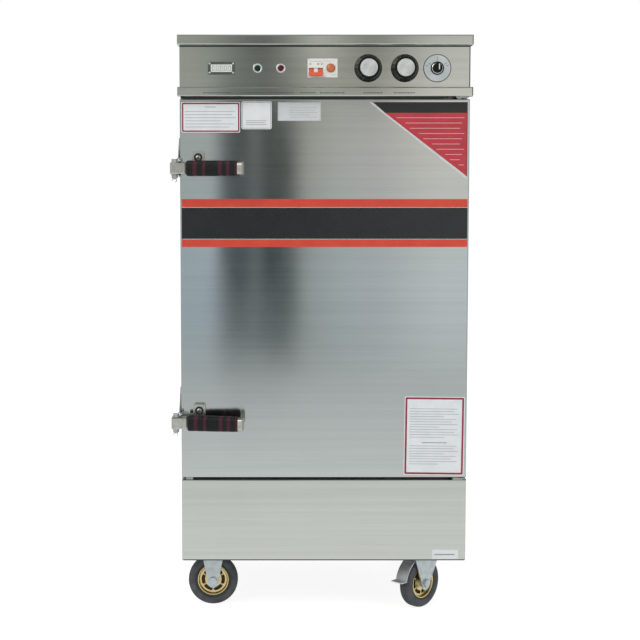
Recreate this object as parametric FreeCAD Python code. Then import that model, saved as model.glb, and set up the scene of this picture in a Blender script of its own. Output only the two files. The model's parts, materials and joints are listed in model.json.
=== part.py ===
import FreeCAD, Part
import math
import os

from FreeCAD import Vector

# Rice steamer cabinet: an insulated door over a steam chamber, a control box on top,
# a water tank below, and four casters.
# Millimetres. X to the right, Y to the back, Z up.
# The origin is on the floor, under the middle of the cabinet.

# Overall sizes
body_width = 700.0
carcass_depth = 560.0
carcass_back = 305.0
lower_panel_height = 202.0
door_height = 924.0
door_gap = 6.0
door_thickness = 42.0
seal_gap = 8.0
ledge_height = 22.0
control_face_height = 100.0
top_lip_height = 24.0
lip_reach = 25.0
lip_overhang = 4.0
sheet = 1.5
edge_bend = 3.0
cover_clearance = 0.2
reach_through = 5.0
control_floor_turn_up = 16.0
fascia_roof = 36.0
underside_bend = 2.0
slip = 0.3


# Steam chamber
opening_side_margin = 45.0
opening_margin = 32.0
chamber_side_gap = 7.0
insulation_back = 36.5
frame_flange = 25.0
chamber_lip = 5.0

# Trays and racks
tray_levels = 8
tray_first_level = 29.0
tray_head_room = 9.0
tray_side_gap = 5.0
tray_width = 400.0
tray_depth = 48.0
tray_rim = 18.0
tray_draft = 7.0
tray_corner = 30.0
tray_sheet = 1.2
ledge_width = 38.0
ledge_lip = 14.0
ledge_run = 430.0
upright_width = 26.0
upright_offset = 150.0
upright_foot = 8.0
upright_head = 20.0
upright_sheet = 2.0
rim_corner_grow = 8.0
floor_corner_cut = 4.0

# Water tank, heaters and plumbing
tank_half_width = 250.0
tank_depth = 120.0
tank_front_margin = 52.0
tank_back_margin = 84.0
tank_flange = 15.0
tank_corner = 12.0
heater_radius = 6.0
heater_bend = 24.0
heater_spacing = 84.0
heater_height = 36.0
heater_reach = 370.0
heater_flange_margin = 22.0
heater_flange_half = 24.0
heater_flange_plate = 5.0
heater_cap_inset = 12.0
heater_cap_depth = 28.0
heater_cap_half = 16.0
heater_mitre = 0.4
baffle_slot_length = 64.0
baffle_slot_width = 9.0
baffle_columns = 5
baffle_rows = 6
baffle_column_pitch = 92.0
baffle_row_pitch = 64.0
baffle_margin = 14.0
inlet_thread_radius = 10.48
inlet_pipe_radius = 9.5
inlet_x = -200.0
inlet_height = 74.0
inlet_bore_radius = 7.0
inlet_nut = 30.0
inlet_nut_length = 7.0
inlet_tail_reach = 42.0
fitting_gap = 4.0
float_radius = 20.0
float_length = 56.0
float_arm_length = 92.0
float_droop = 14.0
float_pivot_radius = 2.5
float_setback = 48.0
float_cheek_gap = 8.0
float_cheek = 3.5
float_boss_half = 6.0
float_end_wall = 10.0
drain_pipe_radius = 17.0
drain_bore_radius = 12.0
drain_thread_radius = 13.22
drain_height = 38.0
drain_setback = 60.0
drain_nut = 40.0
drain_nut_length = 10.0
drain_ball_radius = 20.0
drain_tail = 16.0
drain_neck_radius = 8.0
drain_stem_radius = 3.0
drain_valve_length = 44.0
drain_neck = 27.0
drain_lever_length = 88.0
drain_lever_half = 8.0
drain_lever_plate = 3.0
drain_lever_tip = 14.0
drain_hub = 17.0
drain_hub_length = 6.0
vent_radius = 16.0
vent_bore_radius = 14.0
vent_drop = 62.0
vent_collar_radius = 28.0
vent_collar = 3.0
vent_reach = 40.0
gland_radius = 12.5
gland_bore = 7.0
gland_nut_margin = 6.0
gland_nut_length = 7.0
gland_collar_length = 9.0
gland_dome_start = 8.0
gland_dome_shoulder = 16.0
gland_dome_length = 21.0
gland_x = 250.0
louvre_x = -230.0
louvre_spacing = 90.0
louvre_length = 64.0
louvre_width = 7.0
louvre_pitch = 20.0
louvre_columns = 4
louvre_rows = 2

# Door hinge
hinge_inset = 25.0
hinge_setback = 15.0
hinge_pin_radius = 6.0
running_clearance = 0.05
hinge_plate = 3.0
hinge_plate_half = 16.0
hinge_plate_lead = 10.0
hinge_nose = 11.0
hinge_nose_bend = 8.0
hinge_pin_short = 3.0
door_rest_inset = 11.0
door_rest_width = 17.0
door_rest_setback = 8.0
bush_wall = 3.0
bush_length = 22.0
bush_flange = 2.5
bush_flange_width = 4.0
door_back_bend = 8.0
door_front_bend = 3.0
seal_width = 15.0
seal_taper = 4.0
seal_setback = 2.0
plateau_margin = 6.0
plateau_gap = 9.0
door_flange = 20.0
plateau_height = 8.0
plateau_slope = 8.0

# Latches
upper_latch_drop = 166.0
lower_latch_rise = 143.0
latch_pivot_out = 10.0
latch_pivot_forward = 36.0
latch_bolt_radius = 4.0
latch_head_height = 26.0
latch_head_wall = 3.0
latch_head_overhang = 10.5
latch_head_reach = 25.0
latch_head_front = 17.0
latch_pad = 2.0
latch_plate = 3.0
latch_gusset_rise = 74.0
latch_bracket_depth = 34.0
latch_ear_gap = 0.4
latch_neck_gap = 5.8
latch_bolt_hex = 13.0
latch_bolt_head = 6.0
latch_bolt_nut = 7.0
latch_gusset_slope = 30.0
latch_gusset_width = 12.0
latch_plate_lead = 2.0
latch_foot = 6.0
latch_ear_round = 9.0
latch_ear_nose = 4.0
latch_sleeve_wall = 3.0
grip_angle = 9.0
grip_offset = 30.0
grip_length = 124.0
grip_height = 32.0
grip_depth = 29.0
grip_corner = 8.0
tang_height = 20.0
tang_depth = 5.0
lever_end = 11.0
cam_height = 16.0
cam_thickness = 6.0
cam_overrun = 10.0
cam_gap = 0.3
keeper_inset = 45.0
keeper_width = 30.0
keeper_plate = 3.0
keeper_plate_length = 56.0
keeper_depth = 14.0
keeper_screw_rise = 26.0
keeper_screw_radius = 6.0
keeper_recess_radius = 9.0
keeper_roller_radius = 5.0
keeper_roller_lift = 1.5
keeper_shoulder = 6.0
keeper_foot = 12.0
keeper_head = 16.0
keeper_notches = 4
keeper_notch_pitch = 6.0
keeper_notch = 2.0
keeper_ear_half = 8.0
keeper_recess_depth = 4.0

# Controls, each placed from the middle of the fascia
control_height = 46.0
meter_x = -249.0
meter_width = 65.0
meter_height = 30.0
meter_window_width = 48.0
meter_window_height = 20.0
green_lamp_x = -162.0
red_lamp_x = -106.0
lamp_bezel_radius = 11.5
lamp_lens_radius = 7.5
lamp_body_radius = 8.0
breaker_x = -6.0
breaker_width = 72.0
breaker_front_height = 45.0
breaker_body_height = 82.0
breaker_proud = 6.0
rail_depth = 7.5
rail_height = 35.0
rail_setback = 20.0
rail_half_length = 110.0
rail_lip = 5.0
rail_post_half = 90.0
rail_post_rise = 24.0
breaker_nose_depth = 26.0
breaker_overlap = 4.0
contactor_x = 127.5
contactor_y = 2.5
contactor_steps = ((75.0, 85.0, 40.0), (59.0, 69.0, 34.0), (31.0, 49.0, 10.0))
terminal_x = 250.0
terminal_y = 140.0
terminal_length = 100.0
terminal_depth = 40.0
terminal_base = 14.0
terminal_rise = 20.0
terminal_count = 6
terminal_pitch = 16.0
terminal_width = 12.0
toggle_x = -20.0
toggle_width = 33.0
toggle_barrel_radius = 8.0
toggle_rest_angle = 32.0
toggle_axle_radius = 2.0
toggle_axle_reach = 3.5
toggle_paddle_width = 13.0
toggle_paddle_length = 19.0
toggle_drop = 8.0
toggle_sink = 3.0
button_x = 20.0
button_radius = 10.0
button_depth = 9.0
button_proud = 5.5
timer_x = 104.0
thermostat_x = 192.0
knob_base_radius = 34.0
knob_top_radius = 26.0
knob_height = 33.0
knob_flutes = 22
knob_flute_depth = 1.8
knob_cap_radius = 21.0
knob_shaft_radius = 3.0
dial_nose_radius = 5.0
dial_body_width = 46.0
dial_body_depth = 32.0
dial_bore_depth = 24.0
terminal_inset = 8.0
terminal_half = 10.0
switch_x = 270.0
switch_plate_radius = 31.5
switch_base_radius = 15.5
switch_grip_width = 9.0
switch_height = 22.0
switch_plate_sheet = 1.8
switch_shaft_length = 18.0
switch_base_height = 9.0
meter_edge = 3.0
meter_bezel = 4.0
meter_window_depth = 1.5
meter_body_depth = 38.0
lamp_body_depth = 30.0

# Casters
wheel_radius = 62.5
wheel_width = 32.0
rim_radius = 39.5
rim_width = 24.0
rim_windows = 6
hub_radius = 12.0
hub_gap = 0.5
axle_radius = 6.0
axle_nut = 18.0
axle_nut_length = 6.0
tyre_shoulder = 7.0
window_inner_margin = 8.0
window_outer_margin = 7.0
fork_gap = 37.0
fork_sheet = 3.0
fork_leg_width = 49.0
fork_straight = 36.0
fork_tip_radius = 13.0
fork_tip_drop = 5.0
caster_crown_room = 32.0
caster_recess = 22.0
caster_plate = 4.0
caster_plate_length = 110.0
caster_plate_width = 92.0
caster_pad_margin = 7.0
rigid_caster_inset = 73.0
swivel_caster_inset = 80.0
caster_front_setback = 95.0
caster_back_setback = 77.0
swivel_trail = 38.0
swivel_heading = 225.0
swivel_leg_lead = 8.0
crown_leg_inset = 7.0
kingpin_radius = 8.0
crown_radius = 31.0
crown_depth = 8.0
race_radius = 27.0
race_depth = 4.0
pedal_pin_radius = 3.0
pedal_gap = 8.0
pedal_sheet = 2.5
pedal_side_gap = 1.5
pedal_barrel_wall = 3.0
pedal_toe = 20.0
pedal_reach = 30.0
pedal_lift = 2.0
pedal_sector = (12.0, 38.0)
kingpin_nut = 24.0
kingpin_nut_length = 6.0
skirt_return = 10.0
chassis_angle = 30.0
chassis_wall = 3.0
chassis_plate = 4.0

# Places worked out from the sizes
half_width = body_width / 2
frame_y = carcass_back - carcass_depth
door_back_y = frame_y - seal_gap
door_front_y = door_back_y - door_thickness
lip_front_y = door_front_y - lip_reach
caster_height = 2 * wheel_radius + caster_crown_room
panel_bottom_z = caster_height - caster_recess
panel_top_z = panel_bottom_z + lower_panel_height
door_bottom_z = panel_top_z + door_gap
door_top_z = door_bottom_z + door_height
ledge_bottom_z = door_top_z + door_gap
face_bottom_z = ledge_bottom_z + ledge_height
lip_bottom_z = face_bottom_z + control_face_height
top_z = lip_bottom_z + top_lip_height
control_z = face_bottom_z + control_height
opening_bottom_z = door_bottom_z + opening_margin
opening_top_z = door_top_z - opening_margin
opening_half_width = half_width - opening_side_margin
chamber_half = opening_half_width + chamber_side_gap
chamber_floor_z = opening_bottom_z - chamber_lip
chamber_top_z = opening_top_z + chamber_lip
tray_length = 2 * (opening_half_width - tray_side_gap)
chamber_back_y = carcass_back - sheet - insulation_back - sheet
flange_back_y = frame_y + frame_flange
deck_z = chamber_floor_z - sheet
tank_front_y = frame_y + tank_front_margin
tank_back_y = carcass_back - tank_back_margin
tank_top_z = deck_z
tank_bottom_z = tank_top_z - tank_depth
hinge_x = half_width - hinge_inset
hinge_y = door_front_y + hinge_setback
keeper_x = keeper_inset - half_width
latch_pivot_x = -half_width - latch_pivot_out
latch_pivot_y = door_front_y - latch_pivot_forward
latch_levels = (door_top_z - upper_latch_drop, door_bottom_z + lower_latch_rise)
rigid_caster_x = rigid_caster_inset - half_width
swivel_caster_x = half_width - swivel_caster_inset
caster_front_y = door_front_y + caster_front_setback
caster_back_y = carcass_back - caster_back_setback
casing_inner = half_width - sheet
inner_back_y = carcass_back - sheet


def block(x0, x1, y0, y1, z0, z1):
    return Part.makeBox(x1 - x0, y1 - y0, z1 - z0, Vector(x0, y0, z0))


def rod(radius, start, along, length):
    return Part.makeCylinder(radius, length, Vector(*start), Vector(*along))


def prism(points, push):
    corners = [Vector(*point) for point in points]
    outline = Part.makePolygon(corners + [corners[0]])
    return Part.Face(outline).extrude(Vector(*push))


def joined(shapes):
    whole = shapes[0].multiFuse(list(shapes[1:]))
    return whole.removeSplitter()


def centred(x, wide, y0, y1, z, tall):
    # A block from its middle in X and Z and its two ends in Y.
    return block(x - wide / 2, x + wide / 2, y0, y1, z - tall / 2, z + tall / 2)


def span(a, b):
    return min(a, b), max(a, b)


def front_edges(shape, direction, limit):
    return edges_along(shape, direction, lambda middle: middle.y < limit)


def back_edges(shape, direction, limit):
    return edges_along(shape, direction, lambda middle: middle.y > limit)


def turned(outline, centre, axis):
    # A turned piece: pairs of radius and distance along the axis from the centre.
    corners = [Vector(radius, 0, along) for radius, along in outline]
    profile = Part.Face(Part.makePolygon(corners + [corners[0]]))
    piece = profile.revolve(Vector(0, 0, 0), Vector(0, 0, 1), 360)
    aim = FreeCAD.Rotation(Vector(0, 0, 1), Vector(*axis))
    piece.Placement = FreeCAD.Placement(Vector(*centre), aim)
    return piece


def rectangle_wire(x0, x1, z0, z1, y):
    corners = [Vector(x0, y, z0), Vector(x1, y, z0), Vector(x1, y, z1), Vector(x0, y, z1)]
    return Part.makePolygon(corners + [corners[0]])


def tapered(x0, x1, z0, z1, y0, y1, inset):
    # A slab from y0 to y1 whose far face is smaller by the inset all round.
    near = rectangle_wire(x0, x1, z0, z1, y0)
    far = rectangle_wire(x0 + inset, x1 - inset, z0 + inset, z1 - inset, y1)
    return Part.makeLoft([near, far], True, True)


def edges_along(shape, direction, test):
    # The straight edges that run along a direction and pass a test on their middle.
    found = []
    for edge in shape.Edges:
        if len(edge.Vertexes) != 2:
            continue
        run = edge.Vertexes[1].Point - edge.Vertexes[0].Point
        middle = edge.CenterOfMass
        if abs(abs(run.normalize().dot(Vector(*direction))) - 1) < 1e-6 and test(middle):
            found.append(edge)
    return found


def hexagon(across, centre, axis, length):
    # A nut or a bolt head: a six-sided block along an axis.
    radius = across / math.sqrt(3)
    corners = [
        Vector(radius * math.cos(math.radians(60 * side)), radius * math.sin(math.radians(60 * side)), 0)
        for side in range(6)
    ]
    piece = Part.Face(Part.makePolygon(corners + [corners[0]])).extrude(Vector(0, 0, length))
    aim = FreeCAD.Rotation(Vector(0, 0, 1), Vector(*axis))
    piece.Placement = FreeCAD.Placement(Vector(*centre), aim)
    return piece


def mitred_pipe(radius, points):
    # A round bar along straight runs with mitred corners.
    corners = [Vector(*point) for point in points]
    start = corners[1] - corners[0]
    ring = Part.Wire(Part.makeCircle(radius, corners[0], start))
    return Part.Wire(Part.makePolygon(corners)).makePipeShell([ring], True, False, 1)


def save(name, shapes, count=1):
    solids = [solid for shape in shapes for solid in shape.Solids]
    if len(solids) != count or not all(solid.isValid() for solid in solids):
        raise ValueError(name + " has " + str(len(solids)) + " solids, or one is faulty")
    piece = solids[0] if count == 1 else Part.makeCompound(solids)
    piece.exportStep(os.path.join("parts", name + ".step"))
    print(name, count, round(sum(solid.Volume for solid in solids) / 1000, 1), "cm3")


# The cabinet's shells


def outer_casing():
    top = top_z - sheet
    outside = block(-half_width, half_width, frame_y, carcass_back, panel_bottom_z, top)
    inside = block(-casing_inner, casing_inner, frame_y - 1, inner_back_y, panel_bottom_z - 1, top + 1)
    near = inner_back_y - reach_through
    far = carcass_back + reach_through
    holes = []
    for radius, x, z in (
        (vent_radius + slip, 0, vent_z()),
        (gland_radius, gland_x, control_z),
        (drain_pipe_radius + slip, 0, drain_z()),
        (inlet_thread_radius + slip, inlet_x, inlet_z()),
    ):
        holes.append(rod(radius, (x, near, z), (0, 1, 0), far - near))
    for column in range(louvre_columns):
        for row in range(louvre_rows):
            x = louvre_x + column * louvre_spacing
            z = control_z + (row - 0.5) * louvre_pitch
            holes.append(centred(x, louvre_length, near, far, z, louvre_width))
    return outside.cut(inside).cut(Part.makeCompound(holes))


def vent_z():
    return chamber_top_z - vent_drop


def drain_z():
    return tank_bottom_z - drain_height


def inner_liner():
    x = chamber_half
    front = flange_back_y
    back = chamber_back_y
    low = chamber_floor_z
    high = chamber_top_z
    outside = block(-x - sheet, x + sheet, front - sheet, back + sheet, low - sheet, high + sheet)
    inside = block(-x, x, front, back, low, high)
    collar = opening_half_width + sheet
    mouth_low = opening_bottom_z - sheet
    mouth_high = opening_top_z + sheet
    mouth = block(-collar, collar, front - 2 * sheet, front + 1, mouth_low, mouth_high)
    tank_x = tank_half_width
    well = block(-tank_x, tank_x, tank_front_y, tank_back_y, low - 2 * sheet, low + 1)
    vent = rod(vent_radius, (0, back - sheet, vent_z()), (0, 1, 0), 4 * sheet)
    return outside.cut(inside).cut(Part.makeCompound([mouth, well, vent]))


def insulation():
    x = chamber_half + sheet
    front = flange_back_y
    back = chamber_back_y + sheet
    outside = block(-casing_inner, casing_inner, front, inner_back_y, deck_z, ledge_bottom_z)
    liner = block(-x, x, front - 1, back, deck_z - 1, chamber_top_z + sheet)
    vent = rod(vent_radius, (0, chamber_back_y, vent_z()), (0, 1, 0), inner_back_y)
    return outside.cut(liner).cut(vent)


def front_frame():
    inner = casing_inner - sheet
    low = panel_top_z
    high = ledge_bottom_z
    mouth_x = opening_half_width
    collar_x = mouth_x + sheet
    pan = block(-casing_inner, casing_inner, frame_y, flange_back_y, low, high)
    hollow = block(-inner, inner, frame_y + sheet, flange_back_y + 1, low + sheet, high - sheet)
    collar_low = opening_bottom_z - sheet
    collar_high = opening_top_z + sheet
    collar = block(-collar_x, collar_x, frame_y, flange_back_y, collar_low, collar_high)
    mouth = block(-mouth_x, mouth_x, frame_y - 1, flange_back_y + 1, opening_bottom_z, opening_top_z)
    return joined([pan.cut(hollow), collar]).cut(mouth)


def top_cover():
    side = half_width + lip_overhang
    back = carcass_back + lip_overhang
    outside = block(-side, side, lip_front_y, back, lip_bottom_z, top_z)
    outside = outside.makeFillet(edge_bend, front_edges(outside, (1, 0, 0), lip_front_y + 1))
    low = lip_bottom_z
    side_in = side - sheet
    inside = block(-side_in, side_in, lip_front_y + sheet, back - sheet, low + sheet, top_z - sheet)
    fit = half_width + cover_clearance
    fit_front = door_front_y - cover_clearance
    fit_back = carcass_back + cover_clearance
    mouth = block(-fit, fit, fit_front, fit_back, low - 1, low + sheet + 1)
    return outside.cut(inside).cut(mouth)


def control_floor():
    x = casing_inner
    low = ledge_bottom_z
    high = low + control_floor_turn_up
    floor = block(-x, x, frame_y, inner_back_y, low, low + sheet)
    back = block(-x, x, inner_back_y - sheet, inner_back_y, low, high)
    left = block(-x, sheet - x, frame_y, inner_back_y, low, high)
    right = block(x - sheet, x, frame_y, inner_back_y, low, high)
    post_top = control_z + rail_post_rise
    post = block(-rail_post_half, rail_post_half, rail_y(), rail_y() + sheet, low, post_top)
    return joined([floor, back, left, right, post])


def rail_y():
    return frame_y + rail_setback


def fascia_holes():
    front = door_front_y - reach_through
    back = door_front_y + reach_through
    meter_body_width = meter_width - 2 * meter_edge
    meter_body_height = meter_height - 2 * meter_edge
    breaker_hole_width = breaker_width + 2 * slip
    breaker_hole_height = breaker_front_height + 2 * slip
    holes = [
        centred(meter_x, meter_body_width, front, back, control_z, meter_body_height),
        centred(breaker_x, breaker_hole_width, front, back, control_z, breaker_hole_height),
    ]
    for x in (green_lamp_x, red_lamp_x):
        holes.append(rod(lamp_body_radius + slip, (x, front, control_z), (0, 1, 0), back - front))
    for x in (timer_x, thermostat_x, switch_x):
        holes.append(rod(dial_nose_radius + slip, (x, front, control_z), (0, 1, 0), back - front))
    return Part.makeCompound(holes)


def control_fascia():
    inside = half_width - sheet
    front = door_front_y
    inner = front + sheet
    top = top_z - sheet - slip
    low = ledge_bottom_z
    face = block(-half_width, half_width, front, inner, face_bottom_z - sheet, top)
    roof = block(-inside, inside, front, front + fascia_roof, top - sheet, top)
    left = block(-half_width, -inside, front, frame_y, low, top)
    right = block(inside, half_width, front, frame_y, low, top)
    side = half_width + lip_overhang
    side_in = side - sheet
    ledge = block(-side, side, lip_front_y, inner, low, face_bottom_z)
    ledge = ledge.makeFillet(edge_bend, front_edges(ledge, (1, 0, 0), lip_front_y + 1))
    ledge_top = face_bottom_z - sheet
    hollow = block(-side_in, side_in, lip_front_y + sheet, inner + 1, low + sheet, ledge_top)
    floor = block(-half_width, half_width, inner, frame_y, low, low + sheet)
    whole = joined([face, roof, left, right, ledge.cut(hollow), floor])
    return whole.cut(fascia_holes())


def lower_front_panel():
    front = door_front_y
    low = panel_bottom_z
    outside = block(-half_width, half_width, front, frame_y, low, panel_top_z)
    bends = front_edges(outside, (0, 0, 1), front + 1) + front_edges(outside, (1, 0, 0), front + 1)
    outside = outside.makeFillet(underside_bend, bends)
    high = panel_top_z - sheet
    inside = block(-casing_inner, casing_inner, front + sheet, frame_y + 1, low + sheet, high)
    under_x = half_width - skirt_return
    underside = block(-under_x, under_x, front + skirt_return, frame_y + 1, low - 1, low + 2 * sheet)
    return outside.cut(inside).cut(underside)


def angle_ring(x, front, back, low, leg, flat_at_top, flat):
    # A ring of angle section: an upright leg all round and a flat leg at its top or bottom.
    wall = chassis_wall
    outside = block(-x, x, front, back, low, low + leg)
    core_low, core_high = (low - 1, low + leg - wall) if flat_at_top else (low + wall, low + leg + 1)
    core = block(wall - x, x - wall, front + wall, back - wall, core_low, core_high)
    x_in, front_in, back_in = flat
    hole = block(-x_in, x_in, front_in, back_in, low - 1, low + leg + 1)
    return outside.cut(core).cut(hole)


def chassis():
    x = casing_inner - sheet
    back = inner_back_y - sheet
    front = door_front_y + sheet + chassis_wall
    low = caster_height + chassis_plate
    bottom_hole = (x - chassis_angle, front + chassis_angle, back - chassis_angle)
    ring = angle_ring(x, front, back, low, chassis_angle, False, bottom_hole)
    clear = tank_flange + chassis_wall
    deck_hole = (tank_half_width + clear, tank_front_y - clear, tank_back_y + clear)
    deck = angle_ring(x, flange_back_y, back, deck_z - chassis_angle, chassis_angle, True, deck_hole)
    pieces = [ring, deck]
    low_z = low + chassis_wall
    high_z = deck_z - chassis_wall
    for side in (-1, 1):
        outer = side * x
        flat = side * (x - chassis_angle)
        thin = side * (x - chassis_wall)
        for y, inward in ((flange_back_y, 1), (back, -1)):
            far = y + inward * chassis_angle
            near = y + inward * chassis_wall
            pieces.append(block(*span(outer, thin), *span(y, far), low_z, high_z))
            pieces.append(block(*span(outer, flat), *span(y, near), low_z, high_z))
    pad_x = caster_plate_length / 2 + caster_pad_margin
    pad_y = caster_plate_width / 2 + caster_pad_margin
    for middle_x, middle_y in caster_places():
        ends = (middle_x - pad_x, middle_x + pad_x, middle_y - pad_y, middle_y + pad_y)
        pieces.append(block(*ends, caster_height, low_z))
    return joined(pieces)


def caster_places():
    return [
        (rigid_caster_x, caster_front_y),
        (rigid_caster_x, caster_back_y),
        (swivel_caster_x, caster_front_y),
        (swivel_caster_x, caster_back_y),
    ]


# Water side


def tank_holes():
    reach = heater_spacing + heater_bend + heater_radius + slip
    low = heater_z() - heater_radius - slip
    high = heater_z() + heater_radius + slip
    front = tank_front_y - reach_through
    heater_opening = block(-reach, reach, front, tank_front_y + reach_through, low, high)
    back = tank_back_y - reach_through
    inlet = rod(inlet_pipe_radius, (inlet_x, back, inlet_z()), (0, 1, 0), 2 * reach_through)
    drain = rod(drain_bore_radius, (0, drain_y(), tank_bottom_z - 1), (0, 0, 1), reach_through)
    return Part.makeCompound([heater_opening, inlet, drain])


def inlet_z():
    return tank_bottom_z + inlet_height


def heater_z():
    return tank_bottom_z + heater_height


def drain_y():
    return tank_back_y - drain_setback


def water_tank():
    x = tank_half_width
    low = tank_bottom_z
    high = tank_top_z
    outside = block(-x, x, tank_front_y, tank_back_y, low, high)
    outside = outside.makeFillet(tank_corner, edges_along(outside, (0, 0, 1), lambda middle: True))
    x_in = x - sheet
    inside = block(-x_in, x_in, tank_front_y + sheet, tank_back_y - sheet, low + sheet, high + 1)
    inside_edges = edges_along(inside, (0, 0, 1), lambda middle: True)
    inside = inside.makeFillet(tank_corner - sheet, inside_edges)
    wide = x + tank_flange
    flange_front = tank_front_y - tank_flange
    flange = block(-wide, wide, flange_front, tank_back_y + tank_flange, high - sheet, high)
    return joined([outside, flange]).cut(inside).cut(tank_holes())


def baffle_plate():
    x = tank_half_width + baffle_margin
    front = tank_front_y - baffle_margin
    back = tank_back_y + baffle_margin
    low = chamber_floor_z
    plate = block(-x, x, front, back, low, low + sheet)
    slots = []
    for column in range(baffle_columns):
        for row in range(baffle_rows):
            slot_x = (column - (baffle_columns - 1) / 2) * baffle_column_pitch
            slot_y = (front + back) / 2 + (row - (baffle_rows - 1) / 2) * baffle_row_pitch
            near = slot_y - baffle_slot_width / 2
            far = slot_y + baffle_slot_width / 2
            slots.append(centred(slot_x, baffle_slot_length, near, far, low + sheet / 2, 2 * sheet))
    return plate.cut(Part.makeCompound(slots))


def hairpin(middle_x):
    # One immersion heater: out along the tank, round its bend and back to the flange.
    start = tank_front_y - heater_flange_plate + 1
    far = tank_front_y + heater_reach
    near_bend = far - heater_bend * (1 - heater_mitre)
    z = heater_z()
    half = heater_bend
    nose = heater_bend * heater_mitre
    places = [(-half, start), (-half, near_bend), (-nose, far), (nose, far), (half, near_bend), (half, start)]
    return mitred_pipe(heater_radius, [(middle_x + x, y, z) for x, y in places])


def heating_elements():
    flange_x = heater_spacing + heater_bend + heater_flange_margin
    z = heater_z()
    flange_front = tank_front_y - heater_flange_plate
    flange = centred(0, 2 * flange_x, flange_front, tank_front_y, z, 2 * heater_flange_half)
    cap_front = flange_front - heater_cap_depth
    cap_width = 2 * (flange_x - heater_cap_inset)
    cap = centred(0, cap_width, cap_front, flange_front, z, 2 * heater_cap_half)
    return joined([flange, cap] + [hairpin(loop * heater_spacing) for loop in (-1, 0, 1)])


def float_pivot():
    return (inlet_x, tank_back_y - float_setback, inlet_z())


def float_valve():
    # A threaded tail through the back, a nut on the tank wall, and two cheeks for the arm.
    x, pivot_y, z = float_pivot()
    tail_start = tank_back_y - inlet_nut
    tail_end = carcass_back + inlet_tail_reach
    length = tail_end - tail_start
    pipe = rod(inlet_pipe_radius, (x, tail_start, z), (0, 1, 0), length)
    thread_start = carcass_back + fitting_gap
    tail = rod(inlet_thread_radius, (x, thread_start, z), (0, 1, 0), tail_end - thread_start)
    nut = hexagon(inlet_nut, (x, tank_back_y, z), (0, 1, 0), inlet_nut_length)
    bore = rod(inlet_bore_radius, (x, tail_start + float_end_wall, z), (0, 1, 0), length)
    outer = float_cheek_gap / 2 + float_cheek
    front = pivot_y - inlet_bore_radius
    back = tail_start + 2
    tall = 2 * inlet_bore_radius
    yoke = centred(x, 2 * outer, front, back, z, tall)
    gap = centred(x, float_cheek_gap, front - 1, tail_start - float_boss_half, z, tall + 2)
    hole_start = (x - outer - 1, pivot_y, z)
    hole = rod(float_pivot_radius + running_clearance, hole_start, (1, 0, 0), 2 * outer + 2)
    return joined([pipe, tail, nut, yoke.cut(gap)]).cut(bore).cut(hole)


def float_arm():
    x, pivot_y, z = float_pivot()
    outer = float_cheek_gap / 2 + float_cheek + 0.5
    pin = rod(float_pivot_radius, (x - outer, pivot_y, z), (1, 0, 0), 2 * outer)
    half = float_boss_half
    boss_width = float_cheek_gap - 0.8
    boss = centred(x, boss_width, pivot_y - half, pivot_y + half, z, 2 * half)
    droop = math.radians(float_droop)
    away = Vector(0, -math.cos(droop), -math.sin(droop))
    start = Vector(x, pivot_y, z) + away * 3
    arm = Part.makeCylinder(float_pivot_radius, float_arm_length - half, start, away)
    middle = Vector(x, pivot_y, z) + away * float_arm_length
    drum_start = (x - float_length / 2, middle.y, middle.z)
    drum = rod(float_radius, drum_start, (1, 0, 0), float_length)
    return joined([pin, boss, arm, drum])


def drain_valve():
    # A pipe down from the tank, a mitred elbow, and a ball valve behind the cabinet.
    z = drain_z()
    y = drain_y()
    body_start = carcass_back + fitting_gap
    body_end = body_start + drain_valve_length
    elbow = [(0, y, tank_bottom_z), (0, y, z), (0, body_start + 1, z)]
    pipe = mitred_pipe(drain_pipe_radius, elbow)
    nut = drain_nut_length
    nut_near = hexagon(drain_nut, (0, body_start, z), (0, 1, 0), nut)
    nut_far = hexagon(drain_nut, (0, body_end - nut, z), (0, 1, 0), nut)
    ball = rod(drain_ball_radius, (0, body_start + nut, z), (0, 1, 0), drain_valve_length - 2 * nut)
    tail = rod(drain_thread_radius, (0, body_end, z), (0, 1, 0), drain_tail)
    neck = rod(drain_neck_radius, (0, drain_stem_y(), z), (0, 0, 1), drain_neck)
    outlet = rod(drain_bore_radius - 2, (0, body_end - nut, z), (0, 1, 0), 2 * drain_nut)
    inlet = rod(drain_bore_radius, (0, y, z), (0, 0, 1), drain_height + 1)
    stem_start = (0, drain_stem_y(), z + drain_neck - drain_neck_radius)
    stem_hole = rod(drain_stem_radius + running_clearance, stem_start, (0, 0, 1), drain_neck)
    body = joined([pipe, nut_near, ball, nut_far, tail, neck])
    return body.cut(Part.makeCompound([outlet, inlet, stem_hole]))


def drain_stem_y():
    return carcass_back + fitting_gap + drain_valve_length / 2


def drain_lever():
    z = drain_z() + drain_neck + slip
    y = drain_stem_y()
    near = y - drain_lever_half
    far = y + drain_lever_half
    end = drain_lever_length
    stem_drop = slip + inlet_nut_length
    stem = rod(drain_stem_radius, (0, y, z - stem_drop), (0, 0, 1), stem_drop + 2)
    hub = hexagon(drain_hub, (0, y, z), (0, 0, 1), drain_hub_length)
    blade = block(0, end, near, far, z, z + drain_lever_plate)
    tip = block(end - fitting_gap, end, near, far, z, z + drain_lever_tip)
    return joined([stem, hub, blade, tip])


def steam_vent():
    z = vent_z()
    start = chamber_back_y
    end = carcass_back + vent_reach
    pipe = rod(vent_radius, (0, start, z), (0, 1, 0), end - start)
    collar = rod(vent_collar_radius, (0, carcass_back, z), (0, 1, 0), vent_collar)
    bore = rod(vent_bore_radius, (0, start - 1, z), (0, 1, 0), end - start + 2)
    return joined([pipe, collar]).cut(bore)


# Tray racks and trays


def rack_levels():
    # The levels share the chamber's height evenly.
    first = chamber_floor_z + tray_first_level
    pitch = (chamber_top_z - tray_head_room - first) / tray_levels
    return [first + level * pitch for level in range(tray_levels)]


def tray_middle_y():
    return (frame_y + chamber_back_y) / 2


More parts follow.
